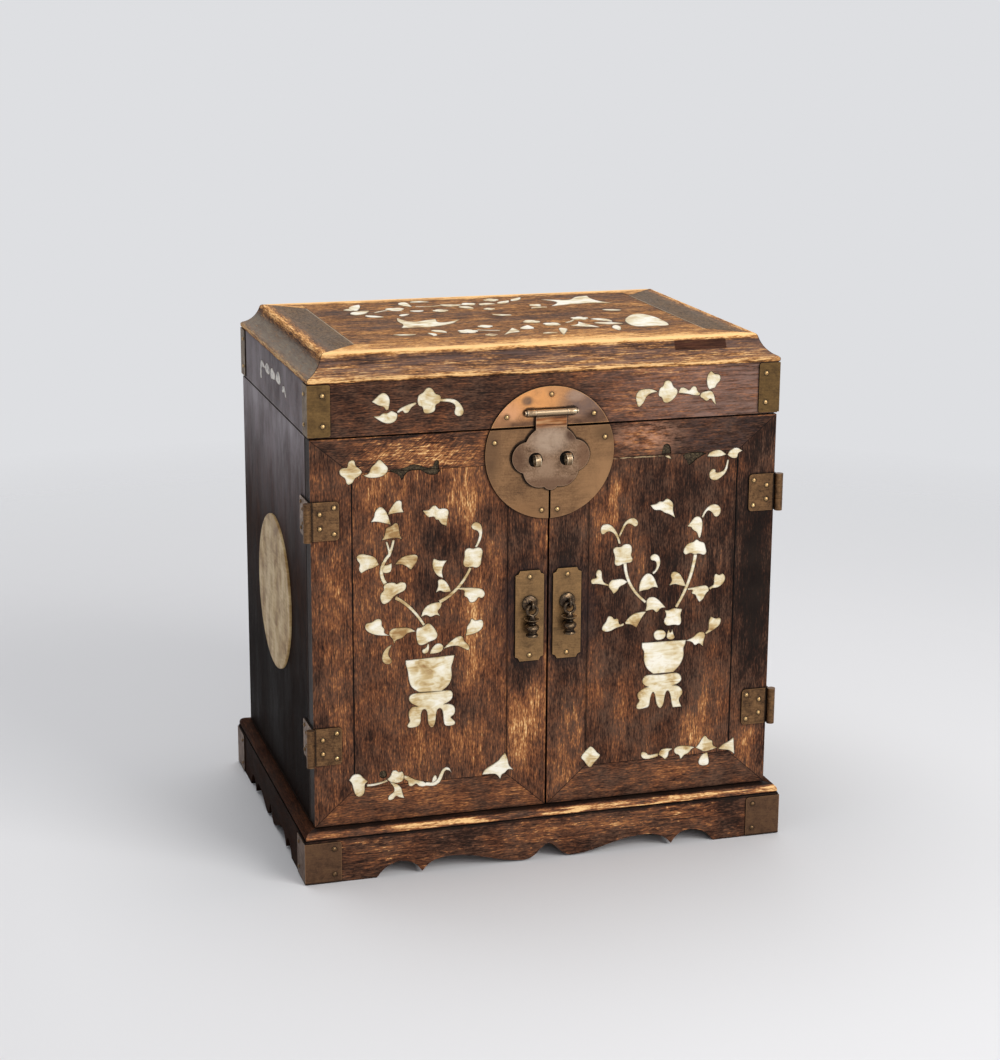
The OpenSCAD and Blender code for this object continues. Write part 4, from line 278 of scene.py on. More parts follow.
def wood(name, grain, base=0.46, spots=(), contrast=1.0, before=None, after=None, gloss=0.46,
         stops=OLD, shine=0.09, fine=1.0, patina=1.0):
    """Old varnished wood with its fibres along axis grain, or along X of the places that grain(p) gives.

    spots are places that are worn light or stained dark: (x, y, z), radii, amount. before(p, worn)
    changes the wear, and after(p, colour) the finished colour. Corners and places beside raised parts get
    painted shade.
    """
    p = Paint(name)
    source = grain(p) if callable(grain) else p.place
    along = ALONG_X if callable(grain) else grain

    def lengths(length, width):
        """Sizes of clouds that are drawn out along the fibres."""
        sizes = [width, width, width]
        sizes[along] = length
        return sizes

    cloud = p.noise(lengths(70, 26), 3, 0.6, source)
    mottle = p.noise(lengths(15, 6), 4, 0.65, source, shift=(8, 3, 6))
    streak = p.noise(lengths(34, 2.0), 3, 0.6, source, shift=(3, 7, 11), warp=0.4)
    fibre = p.noise(lengths(12, 0.75), 2, 0.7, source, shift=(20, 4, 9))
    speck = p.noise(lengths(2.6, 0.8), 1, 0.5, source, shift=(5, 9, 2))
    pores = p.noise(lengths(5, 0.75), 2, 0.5, source, shift=(1, 8, 3))
    worn = p.clouded(base, (cloud, 0.72 * contrast), (mottle, 0.66 * contrast), (streak, 0.26 * contrast),
                     (fibre, 0.9 * fine), (speck, 0.6 * fine))
    frayed = fray(p, lengths(30, 2.5)) if spots else None
    for centre, radii, amount in spots:
        worn = p.add(worn, p.times(p.ramp(p.spot(centre, radii, frayed), 0, 0.7), amount))
    if before:
        worn = before(p, worn)
    colour = p.colours(worn, stops)
    dark = p.times(p.ramp(pores, 0.56, 0.66), p.ramp(worn, 0.62, 0.9, 1, 0.15))
    colour = p.mix(p.times(dark, 0.6 * fine), colour, PORE)
    colour = p.mix(dulled(p, worn, patina), colour, PATINA)
    if after:
        colour = after(p, colour)
    # Painted shade in corners and beside raised parts
    colour = p.mix(p.times(p.crowded(2.0), 0.8), colour, BLACK)
    p.set(base_color=colour, roughness=p.ramp(cloud, 0.3, 0.7, gloss - 0.07, gloss + 0.13),
          specular_ior_level=shine)
    p.bump(p.add(p.times(fibre, 0.8), p.times(dark, -0.5), p.times(streak, 0.4)), depth=0.2, strength=0.75)
    return p


def fray(p, lengths):
    """Places that are shifted unevenly, which frays the edges of spots along the fibres."""
    reach = (16, 16, 46)
    centred = p.vector("SUBTRACT", p.noise(lengths, 3, 0.65, output="Color"), (0.5, 0.5, 0.5))
    return p.vector("ADD", p.place, p.vector("MULTIPLY", centred, reach))


def dulled(p, worn, patina):
    """How grey the varnish has gone: in clouds, and less where it is black or worn bare."""
    clouds = p.ramp(p.noise((24, 24, 24), 4, 0.65, shift=(4, 2, 9)), 0.38, 0.64, 0.06, 0.42)
    lit = p.ramp(worn, 0.2, 0.45, 0.2, patina)
    covered = p.ramp(worn, 0.52, 0.72, 1, 0.15)
    return p.times(clouds, p.times(lit, covered))


# DOORS
# Places that hands have rubbed light or years have stained: x, z, their radii, amount
LEFT_WEAR = flat_spots([
    (-95, 296, 60, 13, 0.26), (-100, 317, 66, 9, -0.45), (-56, 266, 8, 34, 0.17), (-66, 250, 22, 26, 0.08),
    (-54, 172, 11, 58, 0.24), (-68, 260, 20, 22, 0.10), (-152, 140, 9, 36, 0.16),
    (-148, 92, 9, 34, 0.22), (-152, 222, 9, 40, 0.12), (-20, 92, 18, 40, 0.22),
    (-9, 108, 11, 34, 0.18), (-18, 140, 18, 20, -0.26), (-70, 92, 34, 22, 0.16),
    (-75, 238, 16, 18, -0.24), (-84, 205, 14, 12, -0.18), (-100, 232, 34, 44, 0.04),
    (-128, 120, 16, 60, -0.10), (-88, 58, 60, 10, 0.08), (-38, 50, 30, 9, 0.10),
    (-22, 224, 14, 60, -0.16), (-30, 250, 30, 20, -0.10), (-5, 234, 6, 30, 0.14),
    (-158, 300, 16, 14, -0.14), (-120, 275, 30, 12, 0.10), (-60, 120, 20, 24, -0.08),
])
RIGHT_WEAR = flat_spots([
    (68, 301, 26, 11, 0.26), (120, 296, 30, 16, -0.10), (48, 254, 7, 26, 0.22),
    (38, 234, 9, 26, 0.20), (66, 214, 10, 30, 0.22), (108, 229, 12, 16, 0.22),
    (106, 196, 14, 24, 0.18), (20, 92, 16, 36, 0.26), (14, 60, 16, 20, 0.18),
    (56, 104, 12, 46, 0.20), (112, 82, 18, 20, 0.20), (118, 106, 5, 24, 0.16),
    (152, 72, 12, 24, 0.22), (90, 54, 70, 12, 0.12), (14, 190, 14, 90, -0.26),
    (153, 190, 20, 104, -0.5), (84, 182, 60, 110, -0.12), (127, 192, 14, 60, -0.16),
    (126, 214, 2.2, 16, 0.36), (100, 262, 40, 24, -0.14), (156, 300, 24, 20, -0.2),
    (44, 280, 14, 12, -0.16), (88, 160, 16, 20, -0.2), (36, 120, 8, 30, 0.12),
])
# The left door's top rail has a curly figure, and the right door's a rosy and a dull patch
CURLS = ((-98, 0, 297), (66, 0, 24))
ROSY = ((72, 0, 301), (34, 0, 14))
DULL = ((122, 0, 300), (44, 0, 22))
# From where to where the right panel's upper joint shows a pale splinter
SPLINTER_START, SPLINTER_END = 47, 82


def slanted_line(p, x, start, end):
    """A dark hairline on the doors' plane between two points (x, z), fading towards its ends."""
    (x0, z0), (x1, z1) = start, end
    length = math.hypot(x1 - x0, z1 - z0)
    across_x, across_z = (z1 - z0) / length, (x0 - x1) / length
    off = p.add(p.times(x, across_x), p.times(p.z, across_z), -(x0 * across_x + z0 * across_z))
    line = p.ramp(p.size_of(off), 0.12, 0.42, 1, 0)
    middle = ((x0 + x1) / 2, 0, (z0 + z1) / 2)
    reach = length * 0.75
    near = p.spot(middle, (reach, 0, reach), p.joined(x, 0, p.z))
    return p.times(line, p.ramp(near, 0, 0.2))


def door_mitres(p, x, colour):
    """The closed joints from the door's corners to the panel's."""
    lines = [slanted_line(p, x, (edge, end), (joint, stop))
             for edge, joint in ((-DOOR_EDGE, -OPEN_OUT), (-MEETING_EDGE, -OPEN_IN))
             for end, stop in ((DOOR_LOW.z, OPEN_LOW), (DOOR_HIGH.z, OPEN_HIGH))]
    return p.mix(p.times(p.most(*lines), 0.85), colour, BLACK)


def open_joint(p, x, colour):
    """The gap at the panel's outer side and the grime along its inner side."""
    gap = p.times(p.band(x, -OPEN_OUT - 0.7, -OPEN_OUT + 0.35, 0.15), p.band(p.z, OPEN_LOW, OPEN_HIGH, 0.3))
    colour = p.mix(gap, colour, BLACK)
    grime = p.times(p.band(x, -OPEN_IN - 0.9, -OPEN_IN + 0.9, 0.7), p.band(p.z, OPEN_LOW, OPEN_HIGH, 0.8))
    return p.mix(p.times(grime, 0.5), colour, BLACK)


def plate_halo(p, x, colour):
    """Grime that has gathered round the pull plate."""
    low, high = millimetres("left_pull_plate")
    middle, half = (low + high) / 2, (high - low) / 2
    radii = (half.x * 2.6, 0, half.z * 1.3)
    halo = p.ramp(p.spot((middle.x, 0, middle.z), radii, p.joined(x, 0, p.z)), 0.0, 0.34)
    return p.mix(p.times(halo, 0.55), colour, tone(34, 28, 30))


def door_depth_shade(p, x, colour):
    """Painted shade: near black in the pockets of the inlay and on the door's outer edge."""
    rim = 0.6
    inside = p.times(p.band(x, -DOOR_EDGE + rim, -MEETING_EDGE - 0.65, 0.2),
                     p.band(p.z, DOOR_LOW.z + rim, DOOR_HIGH.z - rim, 0.2))
    pocket = p.times(inside, p.ramp(p.y, FRONT + 1.6, FRONT + 2.4, 1, 0))
    outer = p.ramp(x, -DOOR_EDGE + 0.15, -DOOR_EDGE + 0.35, 1, 0)
    # Painted shade, near black, on the faces that lie behind the door's front
    depth_shade = p.times(p.ramp(p.y, FRONT + 0.12, FRONT + 0.3), p.most(pocket, outer))
    return p.mix(p.times(depth_shade, 0.9), colour, BLACK)


def splinter(p, colour):
    """A broken pale sliver of bare wood in the right panel's upper joint."""
    broken = p.ramp(p.noise((5, 5, 1), 3, 0.6), 0.44, 0.56)
    sliver = p.times(p.band(p.z, OPEN_HIGH - 1.3, OPEN_HIGH - 0.4, 0.25),
                     p.band(p.x, SPLINTER_START, SPLINTER_END, 3))
    return p.mix(p.times(sliver, broken, 0.75), colour, tone(196, 170, 130))


def lost_recesses(p, colour):
    """Crumbled glue on the floors of the recesses whose shell is lost."""
    floor = FRONT + LOST_DEPTH
    crumbs = p.colours(p.noise((1.1, 1.1, 1.1), 4, 0.7),
                       [(0.35, tone(30, 24, 18)), (0.55, GLUE), (0.75, tone(122, 108, 82))])
    return p.mix(p.band(p.y, floor - 0.1, floor + 0.1, 0.04), colour, crumbs)


def rail_bloom(p, colour):
    """A rosy grey bloom on the right door's top rail."""
    cloudy = p.ramp(p.noise((10, 9, 3), 5, 0.72, shift=(3, 3, 3)), 0.42, 0.6, 0.0, 0.95)
    rosy = p.times(p.ramp(p.spot(*ROSY), 0, 0.7), cloudy)
    dull = p.times(p.ramp(p.spot(*DULL), 0, 0.6), cloudy)
    colour = p.mix(p.times(rosy, 0.75), colour, tone(196, 146, 118))
    return p.mix(p.times(dull, 0.5), colour, tone(72, 60, 58))


def door_edge_wear(p, worn, side):
    """Lighter lines where hands and cloths rub the meeting edges and the upper edge."""
    meeting = p.band(p.times(p.x, side), -1.9, -0.6, 0.5)
    top = p.times(p.ramp(p.z, DOOR_HIGH.z - 1.6, DOOR_HIGH.z - 0.6),
                  p.ramp(p.noise((22, 9, 9), 3), 0.42, 0.6))
    return p.add(worn, p.times(meeting, 0.12), p.times(top, 0.3))


def curly_figure(p, worn):
    """Short golden curls that lie across the left door's top rail."""
    slanted = p.placed((1, 1, 1), turn=math.radians(38))
    curls = p.noise((9, 9, 1.3), 3, 0.65, slanted, warp=1.4)
    place = p.ramp(p.spot(*CURLS), 0, 0.5)
    return p.add(worn, p.times(p.times(p.add(curls, -0.5), place), 1.2))


def door_wood(word, side, part, axis, spots, base, patina):
    """The wood of a door's stiles, rails or panel. side is 1 at the left, where x is below 0, or -1."""
    top_rail = part == "rails"

    def before(p, worn):
        worn = door_edge_wear(p, worn, side)
        return curly_figure(p, worn) if top_rail and side == 1 else worn

    def after(p, colour):
        x = p.times(p.x, side)
        if top_rail and side == -1:
            colour = rail_bloom(p, colour)
        for step in (door_mitres, open_joint, plate_halo, door_depth_shade):
            colour = step(p, x, colour)
        if side == -1:
            colour = splinter(p, colour)
        return lost_recesses(p, colour)

    return wood(f"{word}_{part}_wood", axis, base, spots, before=before, after=after, patina=patina)


def dress_doors():
    for part, axis in (("stiles", ALONG_Z), ("rails", ALONG_X), ("panel", ALONG_Z)):
        give(f"left_door_{part}", door_wood("left", 1, part, axis, LEFT_WEAR, base=0.45, patina=0.8))
        give(f"right_door_{part}", door_wood("right", -1, part, axis, RIGHT_WEAR, base=0.40, patina=1.15))


# LID
# Half the width of the top, the width of its rails, half the width of the well between them, and the
# height of their face
RAIL_X = -TOP_LOW.x
RAIL_WIDTH = 42
WELL = RAIL_X - RAIL_WIDTH
FACE = TOP_HIGH.z
# How far in from the outer edge the moulding's sharp upper edge runs
ARRIS = 13.8
# The let-in repair of the front rail, from x to x
REPAIR_START, REPAIR_END = 93, 131
# From where to where painted light makes the lid's front board paler and paler
LIGHT_START, LIGHT_END = 10, 110
# Heights over which the painted cool sheen on the sides grows, and over which the painted shade of their
# near black foot fades
SHEEN_LOW, SHEEN_HIGH = 195, 305
FOOT_SHADE_LOW, FOOT_SHADE_HIGH = 120, 290
# Worn and stained places of the top panel and the lid's front board
TOP_SPOTS = [((-30, -90, 0), (170, 26, 0), 0.16), ((60, -95, 0), (60, 16, 0), 0.10),
             ((-100, 30, 0), (30, 60, 0), -0.08), ((40, 20, 0), (50, 40, 0), -0.10)]
LID_SPOTS = flat_spots([
    (-100, 316, 60, 9, 0.10), (-150, 336, 34, 16, -0.12), (-70, 342, 30, 9, 0.10), (74, 350, 70, 6, 0.3),
    (90, 330, 60, 26, 0.14), (150, 330, 20, 20, 0.12), (55, 322, 30, 14, 0.10), (-120, 342, 60, 6, -0.1),
])


def rail_grain(p):
    """Fibres run round the top: along X in front and behind, along Y at the sides.

    Leaves in p: side, which is 1 on the side rails; reach, how far in from the edge; seam, the mitres.
    """
    across = p.math("SUBTRACT", RAIL_X, p.size_of(p.x))
    inward = p.math("MINIMUM", p.math("SUBTRACT", p.y, TOP_LOW.y), p.math("SUBTRACT", TOP_HIGH.y, p.y))
    p.side = p.times(p.math("LESS_THAN", across, inward), p.math("LESS_THAN", across, RAIL_WIDTH + 0.01))
    p.reach = p.math("MINIMUM", across, inward)
    p.seam = p.times(p.ramp(p.size_of(p.math("SUBTRACT", across, inward)), 0.15, 0.55, 1, 0),
                     p.math("LESS_THAN", across, RAIL_WIDTH))
    p.grain = p.mix(p.side, p.place, p.joined(p.y, p.x, p.z), kind="VECTOR")
    return p.grain


def rail_wear(p, worn):
    """Bright arris and lip, dark streaks under the arris, dull hollow."""
    front = p.ramp(p.side, 0, 1, 1, 0.7)
    wobble = p.noise((44, 2.4, 3), 4, 0.65, p.grain, shift=(4, 4, 4))
    arris = p.times(p.band(p.reach, ARRIS - 3, ARRIS + 3.6, 3), p.ramp(p.z, FACE - 3.6, FACE - 1.2),
                    p.ramp(wobble, 0.36, 0.6, 0.5, 1.1))
    frayed = p.noise((24, 1.6, 1.4), 3, 0.65, p.grain, shift=(2, 6, 6))
    lip = p.times(p.band(p.reach, -1, 1.6, 0.8), p.band(p.z, TOP_LOW.z + 0.8, TOP_LOW.z + 3.0, 0.6),
                  p.ramp(frayed, 0.36, 0.58, 0.0, 1.2))
    glow = p.times(p.ramp(p.reach, ARRIS + 2, ARRIS + 30, 1, 0.15), p.ramp(p.z, FACE - 1.4, FACE - 0.2),
                   p.ramp(p.side, 0, 1, 0.3, -0.1))
    scratches = p.add(p.noise((18, 1.0, 0.9), 3, 0.7, p.grain, shift=(7, 1, 3)), -0.5)
    scratches = p.times(scratches, p.ramp(p.z, FACE - 3, FACE - 1, 1.9, 0.5), p.ramp(p.side, 0, 1, 1, 0.5))
    under = p.times(p.band(p.z, FACE - 8, FACE - 3, 1.5), -0.16)
    hollow = p.times(p.band(p.z, FACE - 15, FACE - 8, 3), 0.04)
    return p.add(worn, p.times(arris, 0.56, front), p.times(lip, 0.55, front), under, hollow, glow,
                 scratches)


def rail_dust(p, colour):
    """Grey bloom on the side rails and in the hollow of their moulding."""
    hollow = p.band(p.z, FACE - 15.5, FACE - 6, 2)
    flat = p.times(p.ramp(p.z, FACE - 1.5, FACE - 0.2), p.ramp(p.reach, ARRIS + 2, ARRIS + 9))
    thick = p.times(p.side, p.add(p.times(hollow, 1.2), p.times(flat, 0.75)))
    grime = p.ramp(p.noise((8, 1.6, 1.6), 4, 0.7, p.grain, shift=(9, 2, 5)), 0.4, 0.62)
    share = p.math("MINIMUM", p.times(thick, p.ramp(grime, 0, 1, 0.6, 1)), 0.96)
    return p.mix(share, colour, DUST)


def hollow_bloom(p, colour):
    """A rosy grey film in the hollow of the front and back rails."""
    hollow = p.times(p.band(p.z, FACE - 15.5, FACE - 3, 1.5), p.math("SUBTRACT", 1, p.side))
    rosy = p.ramp(p.noise((30, 30, 2.2), 4, 0.65, shift=(6, 2, 2)), 0.38, 0.62, 0.15, 0.65)
    return p.mix(p.times(hollow, rosy), colour, tone(116, 94, 87))


def side_grit(p, colour):
    """Grainy dirt on the side rails' faces, and pale clouds in the hollow below."""
    flat = p.times(p.side, p.ramp(p.z, FACE - 1.5, FACE - 0.2), p.ramp(p.reach, ARRIS + 4, ARRIS + 12))
    grit = p.colours(p.noise((1.3, 2.2, 1.3), 3, 0.7), [(0.4, tone(40, 31, 24)), (0.6, tone(118, 97, 74))])
    colour = p.mix(p.times(flat, 0.7), colour, grit)
    clouds = p.ramp(p.noise((9, 26, 5), 3, 0.6, shift=(1, 4, 4), warp=1.5), 0.46, 0.6, 0, 0.32)
    pale = p.times(p.side, p.band(p.z, FACE - 14, FACE - 6, 2), clouds)
    return p.mix(pale, colour, tone(158, 148, 132))


def let_in_repair(p, colour):
    """A darker strip of other wood in the front rail's hollow."""
    patch = p.times(p.band(p.x, REPAIR_START, REPAIR_END, 0.4), p.band(p.z, FACE - 8.6, FACE - 2.4, 0.3),
                    p.ramp(p.y, FRONT + 14, FRONT + 16, 1, 0))
    repair = p.colours(p.noise((18, 2, 0.9), 3, 0.6, shift=(5, 5, 5)),
                       [(0.3, tone(34, 18, 14)), (0.7, tone(84, 50, 37))])
    return p.mix(p.times(patch, 0.9), colour, repair)


def rail_marks(p, colour):
    """Dust, films and dirt, the dark mitres, the repair and the pale line beside the panel."""
    for step in (rail_dust, hollow_bloom, side_grit):
        colour = step(p, colour)
    colour = p.mix(p.times(p.seam, 0.85), colour, BLACK)
    colour = let_in_repair(p, colour)
    pale = p.times(p.band(p.size_of(p.x), WELL - 0.3, WELL + 0.8, 0.4), p.side)
    return p.mix(p.times(pale, 0.5), colour, tone(196, 176, 148))


def lid_front_painted_light(p, colour):
    """Painted light: the lid's front board is lit paler towards the right, in streaks."""
    streaky = p.ramp(p.noise((26, 3, 2), 4, 0.7), 0.4, 0.6, 0.15, 1.2)
    # Painted light, growing towards the right
    painted_light = p.times(p.ramp(p.x, LIGHT_START, LIGHT_END, 0.0, 0.4), streaky)
    return p.mix(painted_light, colour, tone(168, 136, 124))


def side_wood(name, grain, base, sheen_strength, node):
    """Dark varnish on the outer faces, with a painted cool sheen towards the top, painted shade to near
    black towards the foot and painted highlights on the sharp edges.
    """
    face = -millimetres(node)[0].x

    def painted_sheen_and_shade(p, colour):
        outside = p.ramp(p.size_of(p.x), face - 1.2, face - 0.6)
        height = p.ramp(p.z, SHEEN_LOW, SHEEN_HIGH)
        cloudy = p.ramp(p.noise((40, 26, 60), 5, 0.7, shift=(2, 2, 2)), 0.34, 0.64, 0.4, 1.1)
        # Painted cool sheen, growing towards the top of the outer faces
        share = p.times(p.times(height, height, cloudy), p.times(outside, sheen_strength))
        # Painted shade, near black towards the foot of the outer faces
        foot_shade = p.times(outside, p.ramp(p.z, FOOT_SHADE_LOW, FOOT_SHADE_HIGH, 0.9, 0.1))
        colour = p.mix(foot_shade, colour, tone(13, 10, 9))
        colour = p.mix(share, colour, tone(172, 164, 168))
        # Painted highlights on the sharp outer edges
        return p.mix(p.times(p.crowded(1.2, inside=True), 0.4), colour, tone(150, 136, 128))
    return wood(name, grain, base, contrast=0.6, after=painted_sheen_and_shade, gloss=0.4, shine=0.004, fine=0.6, patina=0.4)


def dress_lid():
    give("lid_top_frame", wood("top_rail_wood", rail_grain, 0.55, before=rail_wear, after=rail_marks,
                               contrast=1.1, gloss=0.5, stops=GOLDEN, shine=0.03, fine=1.2, patina=0.7))
    give("lid_top_panel", wood("top_panel_wood", ALONG_X, 0.5, TOP_SPOTS, contrast=1.1, gloss=0.48,
                               stops=GOLDEN, shine=0.03, fine=1.4, patina=0.6))
    give("lid_front_board", wood("lid_front_wood", ALONG_X, 0.38, LID_SPOTS, 0.8, after=lid_front_painted_light))
    give("lid_back_board", wood("lid_back_wood", ALONG_X, 0.34, contrast=0.8))
    give("lid_side_boards", side_wood("lid_side_wood", ALONG_Y, 0.28, 0.66, "lid_side_boards"))


# CASE
DRAWERS = ("upper_left", "upper_right", "middle_left", "middle_right", "bottom")


def dress_body():
    sides = side_wood("side_wood", ALONG_Z, 0.26, 0.95, "left_side_panel")
    for node in ("left_side_panel", "right_side_panel"):
        give(node, sides)
    give("back_panel", wood("back_wood", ALONG_Z, 0.34, contrast=0.7, gloss=0.55))
    bare = wood("bare_wood", ALONG_X, 0.5, contrast=0.6, gloss=0.6, stops=BARE)
    for node in ("bottom_board", "tray_floor", "drawer_partitions"):
        give(node, bare)
    give("tray_front_board", wood("tray_front_wood", ALONG_X, 0.4, contrast=0.7))
    fronts = wood("drawer_wood", ALONG_X, 0.5, contrast=0.7, gloss=0.48)
    for drawer in DRAWERS:
        give(f"{drawer}_drawer", fronts)


# PLINTH
# From where to where along the front the rubbed line on the bead brightens
BEAD_DULL, BEAD_BRIGHT = -150, -105
# Worn and stained places of the front apron
PLINTH_SPOTS = flat_spots([
    (-134, 38, 20, 12, -0.14), (-120, 18, 30, 8, 0.26), (-60, 24, 50, 8, -0.06), (0, 20, 46, 9, 0.16),
    (60, 22, 46, 8, 0.24), (104, 24, 26, 7, 0.26), (140, 20, 18, 14, -0.16), (-90, 10, 30, 6, 0.06),
])


def bead_wear(p, worn):
    """The bead along the plinth's top edge is rubbed to bare wood."""
    wobble = p.noise((34, 34, 3), 3, 0.6, shift=(1, 2, 3))
    bead = p.band(p.z, BEAD_TOP - 5.6, BEAD_TOP - 1.2, 0.7)
    left = p.ramp(p.x, BEAD_DULL, BEAD_BRIGHT, 0.3, 1)
    rubbed = p.times(bead, left, p.ramp(wobble, 0.36, 0.62, 0.1, 1.05))
    groove = p.band(p.z, BEAD_TOP - 8, BEAD_TOP - 6, 0.5)
    shade = p.ramp(p.z, BEAD_TOP - 1.2, BEAD_TOP - 0.4)
    flecks = p.ramp(p.noise((9, 9, 2.6), 4, 0.65, shift=(8, 8, 1), warp=1.2), 0.56, 0.68, 0, 0.3)
    flecks = p.times(flecks, p.ramp(p.z, BEAD_TOP - 8, BEAD_TOP - 6, 1, 0))
    return p.add(worn, p.times(rubbed, 0.62), p.times(groove, -0.3), p.times(shade, -0.3), flecks)


def side_bead_wear(p, worn):
    """At the sides and behind the bead is only a little lighter, with a dark line below it."""
    bead = p.ramp(p.z, BEAD_TOP - 6.4, BEAD_TOP - 5.4)
    groove = p.band(p.z, BEAD_TOP - 7.2, BEAD_TOP - 6.2, 0.4)
    return p.add(worn, p.times(bead, 0.14), p.times(groove, -0.2))


def dress_plinth():
    give("base_front_apron", wood("plinth_front_wood", ALONG_X, 0.36, PLINTH_SPOTS, before=bead_wear))
    give("base_back_apron", wood("plinth_back_wood", ALONG_X, 0.36, contrast=0.8, before=side_bead_wear))
    give("base_side_aprons", wood("plinth_side_wood", ALONG_Y, 0.12, contrast=0.5, before=side_bead_wear,
                                  shine=0.004, fine=0.5, patina=0.2))


# BRASS
METALLIC = 0.8
# Near black of the painted shade in the brass's corners and beside raised parts
CREVICE_SHADE = tone(24, 17, 12)
# The staples on the lock plates: their height, distance from the middle, and the radius of the painted
# shade, with some dirt, round their feet
STAPLE_Z, STAPLE_X, STAPLE_SHADE = 290, 11.1, 6.2
# Heights between which the hasp's neck is striped, and over which the painted highlight on its barrel's
# upper part sets in
NECK_LOW, NECK_HIGH = 312.5, 320
BARREL_HIGHLIGHT_LOW, BARREL_HIGHLIGHT_FULL = 320.2, 321
# Rubbed, copper red and stained places of the plates: x, z, their radii, colour
LOCK_SPOTS = flat_spots([
    (44, 262, 26, 44, tone(152, 114, 78)), (-46, 296, 14, 30, tone(102, 75, 52)),
    (-20, 250, 26, 14, tone(136, 100, 67)), (44, 306, 18, 8, tone(108, 80, 54)),
])
UPPER_LOCK_SPOTS = flat_spots([
    (-14, 331, 30, 17, tone(214, 150, 92)), (-32, 323, 16, 10, tone(206, 150, 108)),
    (28, 326, 26, 16, tone(118, 94, 82)), (-16.5, 330.5, 5, 4, tone(72, 66, 64)),
    (6, 338, 12, 6, tone(186, 134, 88)), (18, 333, 9, 5, tone(160, 132, 112)),
    (0, 314, 60, 5, tone(88, 62, 46)), (-38, 317, 12, 8, tone(150, 106, 72)),
    (34, 318, 14, 6, tone(82, 58, 44)),
])
# On the hasp, the pale spot at its upper middle is a painted highlight
HASP_SPOTS = flat_spots([
    (-1, 303, 17, 12, tone(170, 146, 124)), (-3, 284, 9, 10, tone(150, 122, 98)),
    (0, 271, 36, 8, tone(112, 84, 64)), (-25, 290, 9, 18, tone(96, 70, 52)),
    (25, 290, 8, 18, tone(116, 84, 62)), (16.5, 271, 6, 5, tone(78, 42, 30)),
    (15, 306, 7, 6, tone(86, 62, 48)),
])


def brass(name, light, mid, dark, rough=0.42, spots=(), size=9.0, shade_spots=(), fine_share=0.6, edge=None,
          after=None):
    """Tarnished sheet brass: clouded, speckled and softly dented, with lighter edges that are partly rubbed
    wear and partly painted highlight, and painted shade in corners and beside raised parts.

    size is the clouds' length. spots are (x, y, z), radii, colour; the spots of painted shade, with some
    dirt, are (x, y, z), radii, and turn near black.
    after(p, colour) changes the colour before the edges are put in.
    """
    p = Paint(name)
    cloud = p.noise((size, size, size), 4, 0.62, shift=(3, 5, 8), warp=0.6)
    speckle = p.noise((1.3, 1.3, 1.3), 3, 0.7)
    rubbed = p.noise((9, 9, 0.8), 3, 0.6, shift=(6, 1, 2))
    value = p.clouded(0.49, (cloud, 0.95), (speckle, fine_share), (rubbed, 0.45))
    colour = p.colours(value, [(0.2, dark), (0.48, mid), (0.8, light)])
    for centre, radii, shade in spots:
        share = p.times(p.ramp(p.spot(centre, radii), 0, 0.55), p.ramp(cloud, 0.3, 0.6, 0.5, 1))
        colour = p.mix(share, colour, shade)
    if after:
        colour = after(p, colour)
    # Lighter sharp edges: partly rubbed wear, partly painted highlight
    colour = p.mix(p.times(p.crowded(0.5, inside=True), 0.8), colour, edge or light)
    # Painted shade, with some dirt: the spots given for it turn near black
    for centre, radii in shade_spots:
        colour = p.mix(p.ramp(p.spot(centre, radii), 0, 0.25), colour, BLACK)
    # Painted shade in corners and beside raised parts, such as the dark ring round the nail heads
    colour = p.mix(p.times(p.crowded(2.0, clear=0.975, full=0.86), 0.92), colour, CREVICE_SHADE)
    p.set(base_color=colour, roughness=p.ramp(cloud, 0.3, 0.7, rough + 0.14, rough - 0.06),
          metallic=METALLIC)
    p.bump(p.add(cloud, p.times(speckle, 0.25), p.times(rubbed, 0.2)), depth=0.35, strength=0.6)
    return p


def dress_locks_and_pulls():
    # Painted shade, with some dirt, round the staples' feet, where the hasp's slots show dark
    staple_shade_spots = [((x, 0, STAPLE_Z), (STAPLE_SHADE, 0, STAPLE_SHADE)) for x in (-STAPLE_X, STAPLE_X)]
    lock = brass("lock_brass", tone(152, 114, 78), tone(122, 90, 61), tone(84, 60, 41), 0.4, LOCK_SPOTS,
                 size=16, shade_spots=staple_shade_spots, fine_share=0.55)
    pull = brass("pull_brass", tone(154, 118, 76), tone(127, 97, 63), tone(86, 65, 42), 0.38, size=10,
                 fine_share=0.5)
    turned = brass("turned_brass", tone(150, 122, 88), tone(68, 53, 40), tone(24, 18, 13), 0.26, size=3.5,
                   edge=tone(210, 190, 156))
    # A paler brass for the pin and the staples, partly painted highlight on their small rounded surfaces
    pale = brass("pin_brass", tone(206, 184, 150), tone(146, 122, 94), tone(70, 54, 40), 0.3, size=4,
                 edge=tone(226, 208, 178))
    for word in ("left", "right"):
        give(f"{word}_lock_plate", lock)
        give(f"{word}_pull_plate", pull)
        give(f"{word}_lock_staple", pale)
        give(f"{word}_pull_eye", turned)
        give(f"{word}_pull_drop", turned)
    give("hasp_pin", pale)
    for drawer in DRAWERS:
        give(f"{drawer}_drawer_pull", turned)


